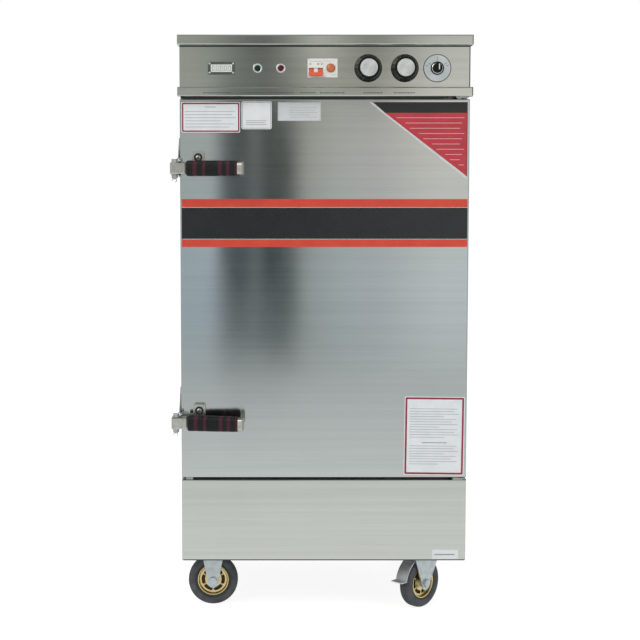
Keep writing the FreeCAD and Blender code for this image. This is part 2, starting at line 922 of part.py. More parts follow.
def rack(side):
    # Two uprights with a ledge of angle section at each level.
    middle = tray_middle_y()
    wall = side * chamber_half
    thick = side * (chamber_half - upright_sheet)
    reach = side * (chamber_half - ledge_width)
    half = upright_width / 2
    low = chamber_floor_z + upright_foot
    high = chamber_top_z - upright_head
    pieces = []
    for y in (middle - upright_offset, middle + upright_offset):
        pieces.append(block(*span(wall, thick), y - half, y + half, low, high))
    front = middle - ledge_run / 2
    back = middle + ledge_run / 2
    inner = side * (chamber_half - upright_sheet - sheet)
    for z in rack_levels():
        pieces.append(block(*span(thick, reach), front, back, z - sheet, z))
        pieces.append(block(*span(thick, inner), front, back, z - sheet, z + ledge_lip))
    return joined(pieces)


def corner_cut_wire(half_x, half_y, corner, z, middle):
    # A rectangle with its corners cut straight, in a level plane.
    quarter = ((half_x, half_y - corner), (half_x - corner, half_y))
    points = []
    for side_x, side_y, order in ((1, 1, 1), (-1, 1, -1), (-1, -1, 1), (1, -1, -1)):
        for x, y in quarter[::order]:
            points.append(Vector(side_x * x, middle + side_y * y, z))
    return Part.makePolygon(points + [points[0]])


def rice_tray(z):
    # A pan with sloping walls and a flat rim.
    middle = tray_middle_y()
    mouth_x = tray_length / 2 - tray_rim
    mouth_y = tray_width / 2 - tray_rim
    floor_x = mouth_x - tray_draft
    floor_y = mouth_y - tray_draft
    wall = tray_sheet
    rim_z = z + tray_depth
    corner = tray_corner - floor_corner_cut
    low = corner_cut_wire(floor_x, floor_y, corner, z, middle)
    high = corner_cut_wire(mouth_x, mouth_y, tray_corner, rim_z, middle)
    pan = Part.makeLoft([low, high], True, True)
    rim_corner = tray_corner + rim_corner_grow
    rim_wire = corner_cut_wire(tray_length / 2, tray_width / 2, rim_corner, rim_z - wall, middle)
    rim = Part.Face(rim_wire).extrude(Vector(0, 0, wall))
    low_in = corner_cut_wire(floor_x - wall, floor_y - wall, corner, z + wall, middle)
    high_in = corner_cut_wire(mouth_x - wall, mouth_y - wall, tray_corner, rim_z, middle)
    hollow = Part.makeLoft([low_in, high_in], True, True)
    return joined([pan, rim]).cut(hollow)


# Door


def door_envelope(grow):
    # The door's outer form, or the space inside its skin when grow is minus the sheet.
    x = half_width + grow
    front = door_front_y
    back = door_back_y
    shell = block(-x, x, front - grow, back, door_bottom_z - grow, door_top_z + grow)
    rear = back_edges(shell, (0, 0, 1), back - 1) + back_edges(shell, (1, 0, 0), back - 1)
    shell = shell.makeFillet(door_back_bend + grow, rear)
    near = front_edges(shell, (0, 0, 1), front + 2) + front_edges(shell, (1, 0, 0), front + 2)
    return shell.makeFillet(door_front_bend + grow, near)


def bush_pockets(radius):
    low = rod(radius, (hinge_x, hinge_y, door_bottom_z - 1), (0, 0, 1), bush_length + 1)
    high = rod(radius, (hinge_x, hinge_y, door_top_z - bush_length), (0, 0, 1), bush_length + 1)
    return Part.makeCompound([low, high])


def door_outer_skin():
    space = door_envelope(-sheet)
    x = half_width - door_flange
    low = door_bottom_z + door_flange
    high = door_top_z - door_flange
    window = block(-x, x, door_back_y - 2 * sheet, door_back_y + 1, low, high)
    front = door_front_y
    depth = block(-half_width, half_width, front, door_back_y - sheet, door_bottom_z, door_top_z)
    skin = door_envelope(0.0).cut(space.common(depth))
    return skin.cut(window).cut(bush_pockets(hinge_pin_radius + bush_wall))


def plateau(height):
    x = hinge_x - seal_width - plateau_gap
    low = opening_bottom_z + plateau_margin
    high = opening_top_z - plateau_margin
    near = door_back_y + height - plateau_height - sheet
    return tapered(-x, x, low, high, near, door_back_y + height, plateau_slope)


def door_inner_skin():
    x = half_width - door_flange
    low = door_bottom_z + door_flange
    high = door_top_z - door_flange
    plate = block(-x, x, door_back_y - sheet, door_back_y, low, high)
    return joined([plate, plateau(plateau_height)]).cut(plateau(plateau_height - sheet))


def door_insulation():
    x = half_width - sheet
    front = door_front_y + sheet
    back = door_back_y - sheet
    core = block(-x, x, front, back, door_bottom_z + sheet, door_top_z - sheet)
    rear = back_edges(core, (0, 0, 1), back - 1) + back_edges(core, (1, 0, 0), back - 1)
    core = core.makeChamfer(door_back_bend, rear)
    near = front_edges(core, (0, 0, 1), front + 1) + front_edges(core, (1, 0, 0), front + 1)
    core = core.makeChamfer(door_front_bend, near)
    return core.cut(bush_pockets(hinge_pin_radius + bush_wall))


def door_gasket():
    outer_x = hinge_x - seal_setback
    inner_x = outer_x - seal_width
    grow = outer_x - opening_half_width
    low = opening_bottom_z - grow
    high = opening_top_z + grow
    outside = tapered(-outer_x, outer_x, low, high, door_back_y, frame_y, seal_taper)
    hole_low = low + seal_width
    hole_high = high - seal_width
    hole = tapered(-inner_x, inner_x, hole_low, hole_high, door_back_y, frame_y, -seal_taper)
    return outside.cut(hole)


def hinge_bushes():
    outer = hinge_pin_radius + bush_wall
    bore = hinge_pin_radius + running_clearance
    rim = outer + bush_flange_width
    bearing = [(bore, -bush_flange), (rim, -bush_flange), (rim, 0), (outer, 0)]
    sleeve = [(outer, bush_length), (bore, bush_length)]
    low = turned(bearing + sleeve, (hinge_x, hinge_y, door_bottom_z), (0, 0, 1))
    high = turned([(bore, 0), (outer, 0)] + sleeve, (hinge_x, hinge_y, door_top_z), (0, 0, -1))
    return low, high


def hinge_brackets():
    # Two plates with a pin each, and the rest that carries the closed door's free side.
    left = hinge_x - hinge_plate_lead
    right = left + 2 * hinge_plate_half
    pin_length = bush_length - hinge_pin_short
    low_top = panel_top_z + hinge_plate
    high_bottom = ledge_bottom_z - hinge_plate
    pieces = []
    for low, pin_z, end_z in (
        (panel_top_z, low_top, door_bottom_z + pin_length),
        (high_bottom, high_bottom, door_top_z - pin_length),
    ):
        plate = block(left, right, hinge_y - hinge_nose, frame_y, low, low + hinge_plate)
        plate = plate.makeFillet(hinge_nose_bend, front_edges(plate, (0, 0, 1), hinge_y))
        aim = 1 if end_z > pin_z else -1
        pin = rod(hinge_pin_radius, (hinge_x, hinge_y, pin_z), (0, 0, aim), abs(end_z - pin_z))
        pieces.append(joined([plate, pin]))
    rest_x = door_rest_inset - half_width
    rest_front = door_front_y + door_rest_setback
    rest_top = door_bottom_z - slip
    rest = block(rest_x, rest_x + door_rest_width, rest_front, frame_y, panel_top_z, rest_top)
    top_edges = edges_along(rest, (1, 0, 0), lambda middle: middle.z > panel_top_z + 1)
    pieces.append(rest.makeFillet(underside_bend, top_edges))
    return pieces


def keeper(z):
    # A notched base plate, a block with its screw sunk in a round recess, and a roller on an ear.
    half = keeper_width / 2
    front = door_front_y - keeper_plate
    face = front - keeper_depth
    right = keeper_x + half
    left = right - keeper_plate_length
    plate = block(left, right, front, door_front_y, z - keeper_foot, z + keeper_head)
    notches = []
    for row in range(keeper_notches):
        low = z - keeper_ear_half + row * keeper_notch_pitch
        notches.append(block(left - 1, keeper_x - half, front - 1, front + 1, low, low + keeper_notch))
    screw_z = z + keeper_screw_rise
    top = screw_z + half
    body = block(keeper_x - half, right, face, door_front_y, z + keeper_foot, top)
    shoulders = edges_along(body, (0, 1, 0), lambda middle: middle.z > top - 1)
    body = body.makeFillet(keeper_shoulder, shoulders)
    start = (keeper_x, face - 1, screw_z)
    recess = rod(keeper_recess_radius, start, (0, 1, 0), keeper_recess_depth + 1)
    screw = rod(keeper_screw_radius, start, (0, 1, 0), keeper_recess_depth + 2)
    ear_x = (keeper_x - keeper_ear_half, keeper_x + keeper_ear_half)
    ear = block(*ear_x, face, front, z - keeper_foot, z - keeper_foot + keeper_plate)
    roller_low = z - keeper_foot + 2
    roller_start = (keeper_x, keeper_roller_y(), roller_low)
    roller = rod(keeper_roller_radius, roller_start, (0, 0, 1), z + keeper_foot + 1 - roller_low)
    return joined([plate.cut(Part.makeCompound(notches)), body.cut(recess), screw, ear, roller])


def keeper_roller_y():
    return door_front_y - keeper_plate - keeper_roller_radius - keeper_roller_lift


def latch_head_back_y():
    return keeper_roller_y() - keeper_roller_radius - cam_gap


def latch_bracket(z):
    # A padded side plate with a gusset above the lever, two ears and the pivot bolt.
    side = -half_width - latch_pad
    out = side - latch_plate
    inner = latch_head_height / 2 + latch_ear_gap
    outer = inner + latch_plate
    neck = latch_head_back_y() + latch_neck_gap
    lead = frame_y - latch_plate_lead
    rear = frame_y + latch_bracket_depth
    foot = z - outer - latch_foot
    peak = z + latch_gusset_rise
    shoulder = peak - latch_gusset_slope
    profile = [(neck, z - outer), (neck, z + outer), (lead, peak), (lead + latch_gusset_width, peak)]
    profile += [(rear, shoulder), (rear, foot), (lead, foot)]
    plate = prism([(out, y, height) for y, height in profile], (latch_plate, 0, 0))
    pad = block(side, -half_width, frame_y + latch_pad, rear, foot, shoulder)
    pieces = [plate, pad]
    x = latch_pivot_x
    y = latch_pivot_y
    wide = latch_ear_round
    nose = latch_ear_nose
    ear = [(side, lead), (side, neck), (x + wide, y - nose), (x + nose, y - wide)]
    ear += [(x - nose, y - wide), (x - wide, y - nose), (out - nose, neck), (out, lead)]
    for low in (z + inner, z - outer):
        pieces.append(prism([(ear_x, ear_y, low) for ear_x, ear_y in ear], (0, 0, latch_plate)))
    bolt_low = z - outer - latch_bolt_nut - latch_plate
    bolt_high = z + outer + latch_pad
    bolt = rod(latch_bolt_radius, (x, y, bolt_low), (0, 0, 1), bolt_high - bolt_low)
    head = hexagon(latch_bolt_hex, (x, y, z + outer), (0, 0, 1), latch_bolt_head)
    nut = hexagon(latch_bolt_hex, (x, y, z - outer - latch_bolt_nut), (0, 0, 1), latch_bolt_nut)
    return joined(pieces + [bolt, head, nut])


def latch_tang(start, end, z):
    y = latch_pivot_y
    return centred((start + end) / 2, end - start, y - tang_depth / 2, y + tang_depth / 2, z, tang_height)


def along_grip(shape):
    # Turns a piece drawn along X about the latch pivot to the grip's angle.
    shape.rotate(Vector(latch_pivot_x, latch_pivot_y, 0), Vector(0, 0, 1), -grip_angle)
    return shape


def latch_lever(z):
    # A channel-shaped head on the pivot, the cam behind it, and a tang through the grip to the end piece.
    half = latch_head_height / 2
    x = latch_pivot_x
    y = latch_pivot_y
    start = x - latch_head_overhang
    end = x + latch_head_reach
    front = y - latch_head_front
    back = latch_head_back_y()
    wall = latch_head_wall
    head = block(start, end, front, back, z - half, z + half)
    folds = front_edges(head, (1, 0, 0), front + 1)
    folds += [edge for edge in front_edges(head, (0, 0, 1), front + 1) if edge.CenterOfMass.x < start + 1]
    head = head.makeFillet(edge_bend, folds)
    hollow = block(start + wall, end - wall, front + wall, back + 1, z - half + wall, z + half - wall)
    sleeve_radius = latch_bolt_radius + latch_sleeve_wall
    sleeve = rod(sleeve_radius, (x, y, z - half + 1), (0, 0, 1), latch_head_height - 2)
    cam_start = end - 2 * wall
    cam_end = keeper_x + cam_overrun
    cam_front = back - cam_thickness
    ramp = [(cam_start, cam_front), (cam_end, cam_front), (cam_end, back - 2), (cam_end - 5, back)]
    ramp.append((cam_start, back))
    cam = prism([(cam_x, cam_y, z - cam_height / 2) for cam_x, cam_y in ramp], (0, 0, cam_height))
    grip_end = x + grip_offset + grip_length
    tang = latch_tang(x + latch_head_reach - 8, grip_end + 1, z)
    tip_width = grip_depth - 2
    tip_middle = grip_end + lever_end / 2
    tip = centred(tip_middle, lever_end, y - tip_width / 2, y + tip_width / 2, z, grip_height - 2)
    tip = tip.makeFillet(grip_corner - 1, edges_along(tip, (1, 0, 0), lambda middle: True))
    handle = along_grip(joined([tang, tip]))
    bore_radius = latch_bolt_radius + running_clearance
    bore = rod(bore_radius, (x, y, z - half - 1), (0, 0, 1), latch_head_height + 2)
    return joined([head.cut(hollow), sleeve, cam, handle]).cut(bore)


def latch_grip(z):
    start = latch_pivot_x + grip_offset
    y = latch_pivot_y
    middle = start + grip_length / 2
    deep = grip_depth / 2
    sleeve = centred(middle, grip_length, y - deep, y + deep, z, grip_height)
    sleeve = sleeve.makeFillet(grip_corner, edges_along(sleeve, (1, 0, 0), lambda middle: True))
    return along_grip(sleeve.cut(latch_tang(start - 1, start + grip_length + 1, z)))


# Controls


def panel_meter():
    front = door_front_y
    bezel = centred(meter_x, meter_width, front - meter_bezel, front, control_z, meter_height)
    bezel = bezel.makeFillet(meter_window_depth, edges_along(bezel, (0, 1, 0), lambda middle: True))
    wide = meter_width - 2 * meter_edge
    tall = meter_height - 2 * meter_edge
    body = centred(meter_x, wide, front, front + meter_body_depth, control_z, tall)
    near = front - meter_bezel - 1
    far = front - meter_bezel + meter_window_depth
    window = centred(meter_x, meter_window_width, near, far, control_z, meter_window_height)
    return joined([bezel, body]).cut(window)


def pilot_lamp(x):
    bezel = lamp_bezel_radius
    lens = lamp_lens_radius
    body = lamp_body_radius
    outline = [(0, -lamp_body_depth), (body, -lamp_body_depth), (body, 0), (bezel, 0), (bezel, 2.5)]
    dome = [(lens, 4), (lens - 1, 6.5), (0, 8.5)]
    return turned(outline + dome, (x, door_front_y, control_z), (0, -1, 0))


def breaker_front_y():
    return door_front_y - breaker_proud


def toggle_pivot():
    x = breaker_x + toggle_x + fitting_gap
    return (x, breaker_front_y() + toggle_barrel_radius - toggle_sink, control_z - toggle_drop)


def breaker_body():
    front = breaker_front_y()
    nose_end = front + breaker_nose_depth
    nose = centred(breaker_x, breaker_width, front, nose_end, control_z, breaker_front_height)
    start = nose_end - breaker_overlap
    rail_front = rail_y() - rail_depth
    body = centred(breaker_x, breaker_width, start, rail_front, control_z, breaker_body_height)
    x, pivot_y, z = toggle_pivot()
    reach = toggle_width / 2 + slip
    radius = toggle_barrel_radius + slip
    well = rod(radius, (x - reach, pivot_y, z), (1, 0, 0), 2 * reach)
    mouth = centred(x, 2 * reach, front - 1, pivot_y, z, 2 * radius)
    axle_reach = toggle_width / 2 + fitting_gap
    axle_radius_in = toggle_axle_radius + running_clearance
    axle_hole = rod(axle_radius_in, (x - axle_reach, pivot_y, z), (1, 0, 0), 2 * axle_reach)
    button_start = (breaker_x + button_x, front - 1, control_z)
    button = rod(button_radius + slip, button_start, (0, 1, 0), button_depth + 3)
    return joined([nose, body]).cut(Part.makeCompound([well, axle_hole, mouth, button]))


def breaker_toggle():
    # Two linked paddles on one barrel.
    x, pivot_y, z = toggle_pivot()
    half = toggle_width / 2
    barrel = rod(toggle_barrel_radius, (x - half, pivot_y, z), (1, 0, 0), toggle_width)
    reach = half + toggle_axle_reach
    axle = rod(toggle_axle_radius, (x - reach, pivot_y, z), (1, 0, 0), 2 * reach)
    tip = pivot_y - toggle_paddle_length
    lower = [(pivot_y, z - 4), (tip + 3, z - 3), (tip, z - 1)]
    upper = [(y, 2 * z - height) for y, height in reversed(lower)]
    paddles = []
    for left in (x - half + 1, x + half - 1 - toggle_paddle_width):
        profile = [(left, y, height) for y, height in lower + upper]
        paddles.append(prism(profile, (toggle_paddle_width, 0, 0)))
    link = centred(x, toggle_paddle_width - 1, pivot_y - 15, pivot_y - 10, z, 4)
    handle = joined([barrel, axle, link] + paddles)
    handle.rotate(Vector(x, pivot_y, z), Vector(1, 0, 0), toggle_rest_angle)
    return handle


def breaker_test_button():
    radius = button_radius
    face = [(radius, 3), (radius - 3, button_proud - 0.5), (0, button_proud)]
    outline = [(0, -button_depth), (radius, -button_depth)] + face
    return turned(outline, (breaker_x + button_x, breaker_front_y(), control_z), (0, -1, 0))


def fluted_wire(x, radius, y):
    # A round outline with shallow flutes, facing the front.
    corners = []
    for index in range(2 * knob_flutes):
        angle = math.pi * index / knob_flutes
        reach = radius - knob_flute_depth * (index % 2)
        corners.append(Vector(x + reach * math.cos(angle), y, control_z + reach * math.sin(angle)))
    return Part.makePolygon(corners + [corners[0]])


def knob(x):
    # A tapered fluted skirt with a seat for its cap, on its shaft.
    base = door_front_y - slip
    top = door_front_y - knob_height
    wires = [fluted_wire(x, knob_base_radius, base), fluted_wire(x, knob_top_radius, top)]
    skirt = Part.makeLoft(wires, True, True)
    seat = rod(knob_cap_radius, (x, top - 1, control_z), (0, 1, 0), 2.5)
    shaft = rod(knob_shaft_radius, (x, base - 2, control_z), (0, 1, 0), 20)
    return joined([skirt.cut(seat), shaft])


def knob_cap(x):
    cap = knob_cap_radius - 0.1
    outline = [(0, 0), (cap, 0), (cap, 2.4), (cap - 1, 3), (0, 3)]
    return turned(outline, (x, door_front_y - knob_height + 1.5, control_z), (0, -1, 0))


def dial_bodies():
    # Square-bodied timer, thermostat and switch, each with a round nose for the knob's shaft.
    pieces = []
    front = door_front_y + sheet
    back = front + dial_body_depth
    wide = dial_body_width
    terminal_width = wide - 2 * terminal_inset
    bore_radius = knob_shaft_radius + running_clearance
    for x in (timer_x, thermostat_x, switch_x):
        body = centred(x, wide, front, back, control_z, wide)
        nose = rod(dial_nose_radius, (x, door_front_y, control_z), (0, 1, 0), sheet + 1)
        terminals = centred(x, terminal_width, back, back + terminal_inset, control_z, 2 * terminal_half)
        bore = rod(bore_radius, (x, door_front_y - 1, control_z), (0, 1, 0), dial_bore_depth)
        pieces.append(joined([body, nose, terminals]).cut(bore))
    return pieces


def switch_plate():
    hole = dial_nose_radius + 1
    rim = switch_plate_radius
    thick = switch_plate_sheet
    outline = [(hole, 0), (rim, 0), (rim - 0.6, thick), (hole, thick)]
    return turned(outline, (switch_x, door_front_y, control_z), (0, -1, 0))


def switch_knob():
    base = switch_base_radius
    shaft = knob_shaft_radius
    low = switch_plate_sheet + slip + 0.1
    high = switch_base_height
    outline = [(0, -switch_shaft_length), (shaft, -switch_shaft_length), (shaft, low)]
    outline += [(base, low), (base - 2, high), (0, high)]
    body = turned(outline, (switch_x, door_front_y, control_z), (0, -1, 0))
    half = switch_grip_width / 2
    top = door_front_y - switch_height
    shoulder = control_z + base - 5
    foot = control_z - base + 3
    pointer = [(-half, foot), (half, foot), (half, shoulder), (0, control_z + base - 1), (-half, shoulder)]
    grip = prism([(switch_x + x, top, z) for x, z in pointer], (0, switch_height - high + 1, 0))
    return joined([body, grip])


def switchgear():
    # Behind the fascia: the rail that carries the breaker, a contactor and a terminal block.
    floor = ledge_bottom_z + sheet
    face = rail_y() - rail_depth
    rail = centred(0, 2 * rail_half_length, face, face + 1, control_z, rail_height)
    foot = centred(0, 2 * rail_half_length, face + 1, rail_y(), control_z, rail_height - 2 * rail_lip)
    steps = []
    low = floor
    for wide, deep, tall in contactor_steps:
        near = contactor_y - deep / 2
        steps.append(centred(contactor_x, wide, near, near + deep, low + tall / 2, tall))
        low += tall
    near = terminal_y - terminal_depth / 2
    far = terminal_y + terminal_depth / 2
    middle = floor + terminal_base / 2
    teeth = [centred(terminal_x, terminal_length, near, far, middle, terminal_base)]
    first = terminal_x - terminal_length / 2 + terminal_depth / 4
    for index in range(terminal_count):
        x = first + index * terminal_pitch
        z = floor + terminal_base + terminal_rise / 2
        teeth.append(centred(x, terminal_width, near + 4, far - 4, z, terminal_rise))
    return [joined([rail, foot]), joined(steps), joined(teeth)]


def cable_gland():
    # A nut inside, a collar outside and a tapering dome, bored for a cord.
    x = gland_x
    z = control_z
    across = 2 * gland_radius + gland_nut_margin
    inside = hexagon(across, (x, inner_back_y - gland_nut_length, z), (0, 1, 0), gland_nut_length)
    collar = hexagon(across, (x, carcass_back, z), (0, 1, 0), gland_collar_length)
    stem = rod(gland_radius - 0.1, (x, inner_back_y - 1, z), (0, 1, 0), sheet + 2)
    shoulder = gland_radius + 1
    dome = [(0, gland_dome_start), (shoulder, gland_dome_start), (shoulder, gland_dome_shoulder)]
    dome += [(gland_radius - 3, gland_dome_length), (0, gland_dome_length)]
    cap = turned(dome, (x, carcass_back, z), (0, 1, 0))
    bore = rod(gland_bore, (x, inner_back_y - gland_nut_length - 3, z), (0, 1, 0), 2 * gland_dome_length)
    return joined([inside, collar, stem, cap]).cut(bore)


# Casters, drawn with the wheel's axle along Y and the trail along X, then placed


def wheel_axis_profile(outline):
    return turned(outline, (0, 0, 0), (0, 1, 0))


def caster_tyre():
    half = wheel_width / 2
    bead = rim_width / 2
    shoulder = wheel_radius - tyre_shoulder
    tread = half - tyre_shoulder
    outline = [(rim_radius, -bead), (shoulder, -half), (wheel_radius, -tread)]
    outline += [(radius, -along) for radius, along in reversed(outline)]
    return wheel_axis_profile(outline)


def caster_rim():
    # A hub, a web with windows, and a flat outer ring for the tyre.
    bore = axle_radius + running_clearance
    hub_half = fork_gap / 2 - hub_gap
    half = rim_width / 2
    outline = [(bore, -hub_half), (hub_radius, -hub_half), (hub_radius, -half), (rim_radius, -half)]
    outline += [(radius, -along) for radius, along in reversed(outline)]
    solid = wheel_axis_profile(outline)
    near = hub_radius + window_inner_margin
    far = rim_radius - window_outer_margin
    corners = ((near, -0.34), (far, -0.36), (far + 2, 0), (far, 0.36), (near, 0.34))
    windows = []
    for index in range(rim_windows):
        turn = 2 * math.pi * (index + 0.5) / rim_windows
        places = []
        for radius, angle in corners:
            places.append((radius * math.cos(turn + angle), -half - 1, radius * math.sin(turn + angle)))
        windows.append(prism(places, (0, 2 * half + 2, 0)))
    return solid.cut(Part.makeCompound(windows))


def fork_leg(side, outline):
    # One sheet leg from its outline of places along the trail and heights, with a round tip at the axle.
    inner = side * fork_gap / 2
    outer = side * (fork_gap / 2 + fork_sheet)
    y = min(inner, outer)
    leg = prism([(x, y, z) for x, z in outline], (0, fork_sheet, 0))
    tip_x = (outline[-1][0] + outline[-2][0]) / 2
    tip = rod(fork_tip_radius, (tip_x, y, wheel_radius - fork_tip_drop), (0, 1, 0), fork_sheet)
    return joined([leg, tip])


def caster_axle(trail):
    reach = fork_gap / 2 + fork_sheet
    length = axle_nut_length
    shaft = rod(axle_radius, (trail, -reach - 1, wheel_radius), (0, 1, 0), 2 * reach + 2)
    nut = hexagon(axle_nut, (trail, -reach - length, wheel_radius), (0, 1, 0), length)
    head = hexagon(axle_nut, (trail, reach, wheel_radius), (0, 1, 0), length)
    return joined([shaft, nut, head])


def caster_top_plate():
    half = caster_plate_width / 2
    middle = caster_height - caster_plate / 2
    return centred(0, caster_plate_length, -half, half, middle, caster_plate)


def rigid_fork():
    top = caster_height - caster_plate
    half = fork_leg_width / 2
    half_y = fork_gap / 2 + fork_sheet
    tip = fork_tip_radius
    tip_z = wheel_radius - fork_tip_drop
    straight = top - fork_straight
    outline = [(-half, straight), (-half, top), (half, top), (half, straight), (tip, tip_z), (-tip, tip_z)]
    crown = block(-half, half, -half_y, half_y, top - fork_sheet, top)
    legs = [fork_leg(side, outline) for side in (-1, 1)]
    return joined([caster_top_plate(), crown] + legs + [caster_axle(0.0)])


def swivel_plate():
    top = caster_height - caster_plate
    race = rod(race_radius, (0, 0, top - race_depth), (0, 0, 1), race_depth)
    nut_top = top - race_depth - crown_depth - 2 * slip
    nut_low = nut_top - kingpin_nut_length
    pin = rod(kingpin_radius, (0, 0, nut_low), (0, 0, 1), top - nut_low)
    nut = hexagon(kingpin_nut, (0, 0, nut_low), (0, 0, 1), kingpin_nut_length)
    return joined([caster_top_plate(), race, pin, nut])


def swivel_fork():
    # A round crown on the kingpin, two legs leaning back to the axle, and the brake's cross pin.
    top = caster_height - caster_plate - race_depth - slip
    low = top - crown_depth
    half_y = fork_gap / 2 + fork_sheet
    head = rod(crown_radius, (0, 0, low), (0, 0, 1), crown_depth)
    leg_top = low + fork_sheet
    leg_front = crown_leg_inset - crown_radius
    leg_back = swivel_trail + swivel_leg_lead
    bridge = block(leg_front, leg_back, -half_y, half_y, low, leg_top)
    hole = rod(kingpin_radius + running_clearance, (0, 0, low - 1), (0, 0, 1), crown_depth + 2)
    tip = fork_tip_radius
    tip_z = wheel_radius - fork_tip_drop
    pin_x, pin_z = pedal_pivot()
    reach = pedal_pin_radius + pedal_barrel_wall
    outline = [(leg_front, leg_top), (leg_back, leg_top), (pin_x - reach - 2, pin_z + reach)]
    outline += [(pin_x + reach, pin_z + reach), (pin_x + reach + 1, pin_z - reach)]
    outline += [(swivel_trail + tip, tip_z), (swivel_trail - tip, tip_z)]
    legs = [fork_leg(side, outline) for side in (-1, 1)]
    pedal_pin = rod(pedal_pin_radius, (pin_x, -half_y, pin_z), (0, 1, 0), 2 * half_y)
    body = joined([head, bridge] + legs).cut(hole)
    return joined([body, caster_axle(swivel_trail), pedal_pin])


def pedal_pivot():
    return (swivel_trail + pedal_reach, 2 * wheel_radius + pedal_lift)


def brake_pedal():
    # A curved shoe over the tread on a cross pin, with a toe to step on.
    pivot_x, pivot_z = pedal_pivot()
    half = fork_gap / 2 - pedal_side_gap
    inner = wheel_radius + pedal_gap
    outer = inner + pedal_sheet
    outline = [(inner, -half), (outer, -half), (outer, half), (inner, half)]
    ring = turned(outline, (swivel_trail, 0, wheel_radius), (0, 1, 0))
    far = 2 * wheel_radius
    corners = [(swivel_trail, -2 * half, wheel_radius)]
    start = math.radians(pedal_sector[0])
    end = math.atan2(pivot_z - wheel_radius, pivot_x - swivel_trail)
    for turn in (start, math.radians(pedal_sector[1]), end):
        place = (swivel_trail + far * math.cos(turn), wheel_radius + far * math.sin(turn))
        corners.append((place[0], -2 * half, place[1]))
    shoe = ring.common(prism(corners, (0, 4 * half, 0)))
    toe_x = swivel_trail + inner * math.cos(start)
    toe_z = wheel_radius + inner * math.sin(start)
    toe = block(toe_x - 0.2, toe_x + pedal_toe, -half, half, toe_z, toe_z + pedal_sheet)
    barrel_radius = pedal_pin_radius + pedal_barrel_wall
    barrel = rod(barrel_radius, (pivot_x, -half, pivot_z), (0, 1, 0), 2 * half)
    bore_radius = pedal_pin_radius + running_clearance
    bore = rod(bore_radius, (pivot_x, -2 * half, pivot_z), (0, 1, 0), 4 * half)
    return joined([shoe, toe, barrel]).cut(bore)


def placed(shape, x, y, z=0.0, heading=0.0):
    piece = shape.copy()
    piece.rotate(Vector(0, 0, 0), Vector(0, 0, 1), heading)
    piece.translate(Vector(x, y, z))
    return piece


def casters():
    tyre = caster_tyre()
    rim = caster_rim()
    rows = (("front", caster_front_y), ("rear", caster_back_y))
    heading = math.radians(swivel_heading)
    for row, y in rows:
        for kind, piece in (("_tyre", tyre), ("_rim", rim)):
            save("left_" + row + kind, [placed(piece, rigid_caster_x, y, wheel_radius)])
            wheel_x = swivel_caster_x + swivel_trail * math.cos(heading)
            wheel_y = y + swivel_trail * math.sin(heading)
            turned_piece = placed(piece, wheel_x, wheel_y, wheel_radius, swivel_heading)
            save("right_" + row + kind, [turned_piece])
        for kind, piece in (("_swivel_fork", swivel_fork()), ("_brake_pedal", brake_pedal())):
            save("right_" + row + kind, [placed(piece, swivel_caster_x, y, 0, swivel_heading)])
    save("rigid_caster_forks", [placed(rigid_fork(), rigid_caster_x, y) for row, y in rows], 2)
    save("swivel_caster_plates", [placed(swivel_plate(), swivel_caster_x, y) for row, y in rows], 2)


os.makedirs("parts", exist_ok=True)

save("outer_casing", [outer_casing()])
save("inner_liner", [inner_liner()])
save("insulation", [insulation()])
save("front_frame", [front_frame()])
save("top_cover", [top_cover()])
save("control_floor", [control_floor()])
save("control_fascia", [control_fascia()])
save("lower_front_panel", [lower_front_panel()])
save("chassis", [chassis()])

save("water_tank", [water_tank()])
save("baffle_plate", [baffle_plate()])
save("heating_elements", [heating_elements()])
save("float_valve", [float_valve()])
save("float_arm", [float_arm()])
save("drain_valve", [drain_valve()])
save("drain_lever", [drain_lever()])
save("steam_vent", [steam_vent()])

save("tray_racks", [rack(-1), rack(1)], 2)
save("rice_trays", [rice_tray(z) for z in rack_levels()], tray_levels)

save("door_outer_skin", [door_outer_skin()])
save("door_inner_skin", [door_inner_skin()])
save("door_insulation", [door_insulation()])
save("door_gasket", [door_gasket()])
save("hinge_bushes", list(hinge_bushes()), 2)
save("hinge_brackets", hinge_brackets(), 3)
save("keepers", [keeper(z) for z in latch_levels], 2)
save("latch_brackets", [latch_bracket(z) for z in latch_levels], 2)
for place, level in zip(("upper", "lower"), latch_levels):
    save(place + "_latch_lever", [latch_lever(level)])
    save(place + "_latch_grip", [latch_grip(level)])

save("panel_meter", [panel_meter()])
save("green_lamp", [pilot_lamp(green_lamp_x)])
save("red_lamp", [pilot_lamp(red_lamp_x)])
save("breaker_body", [breaker_body()])
save("breaker_toggle", [breaker_toggle()])
save("breaker_test_button", [breaker_test_button()])
for dial, dial_x in (("timer", timer_x), ("thermostat", thermostat_x)):
    save(dial + "_knob", [knob(dial_x)])
    save(dial + "_knob_cap", [knob_cap(dial_x)])
save("dial_bodies", dial_bodies(), 3)
save("switch_plate", [switch_plate()])
save("switch_knob", [switch_knob()])
save("switchgear", switchgear(), 3)
save("cable_gland", [cable_gland()])

casters()
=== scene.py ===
import json
import math

import bmesh
import bpy
from mathutils import Matrix, Vector

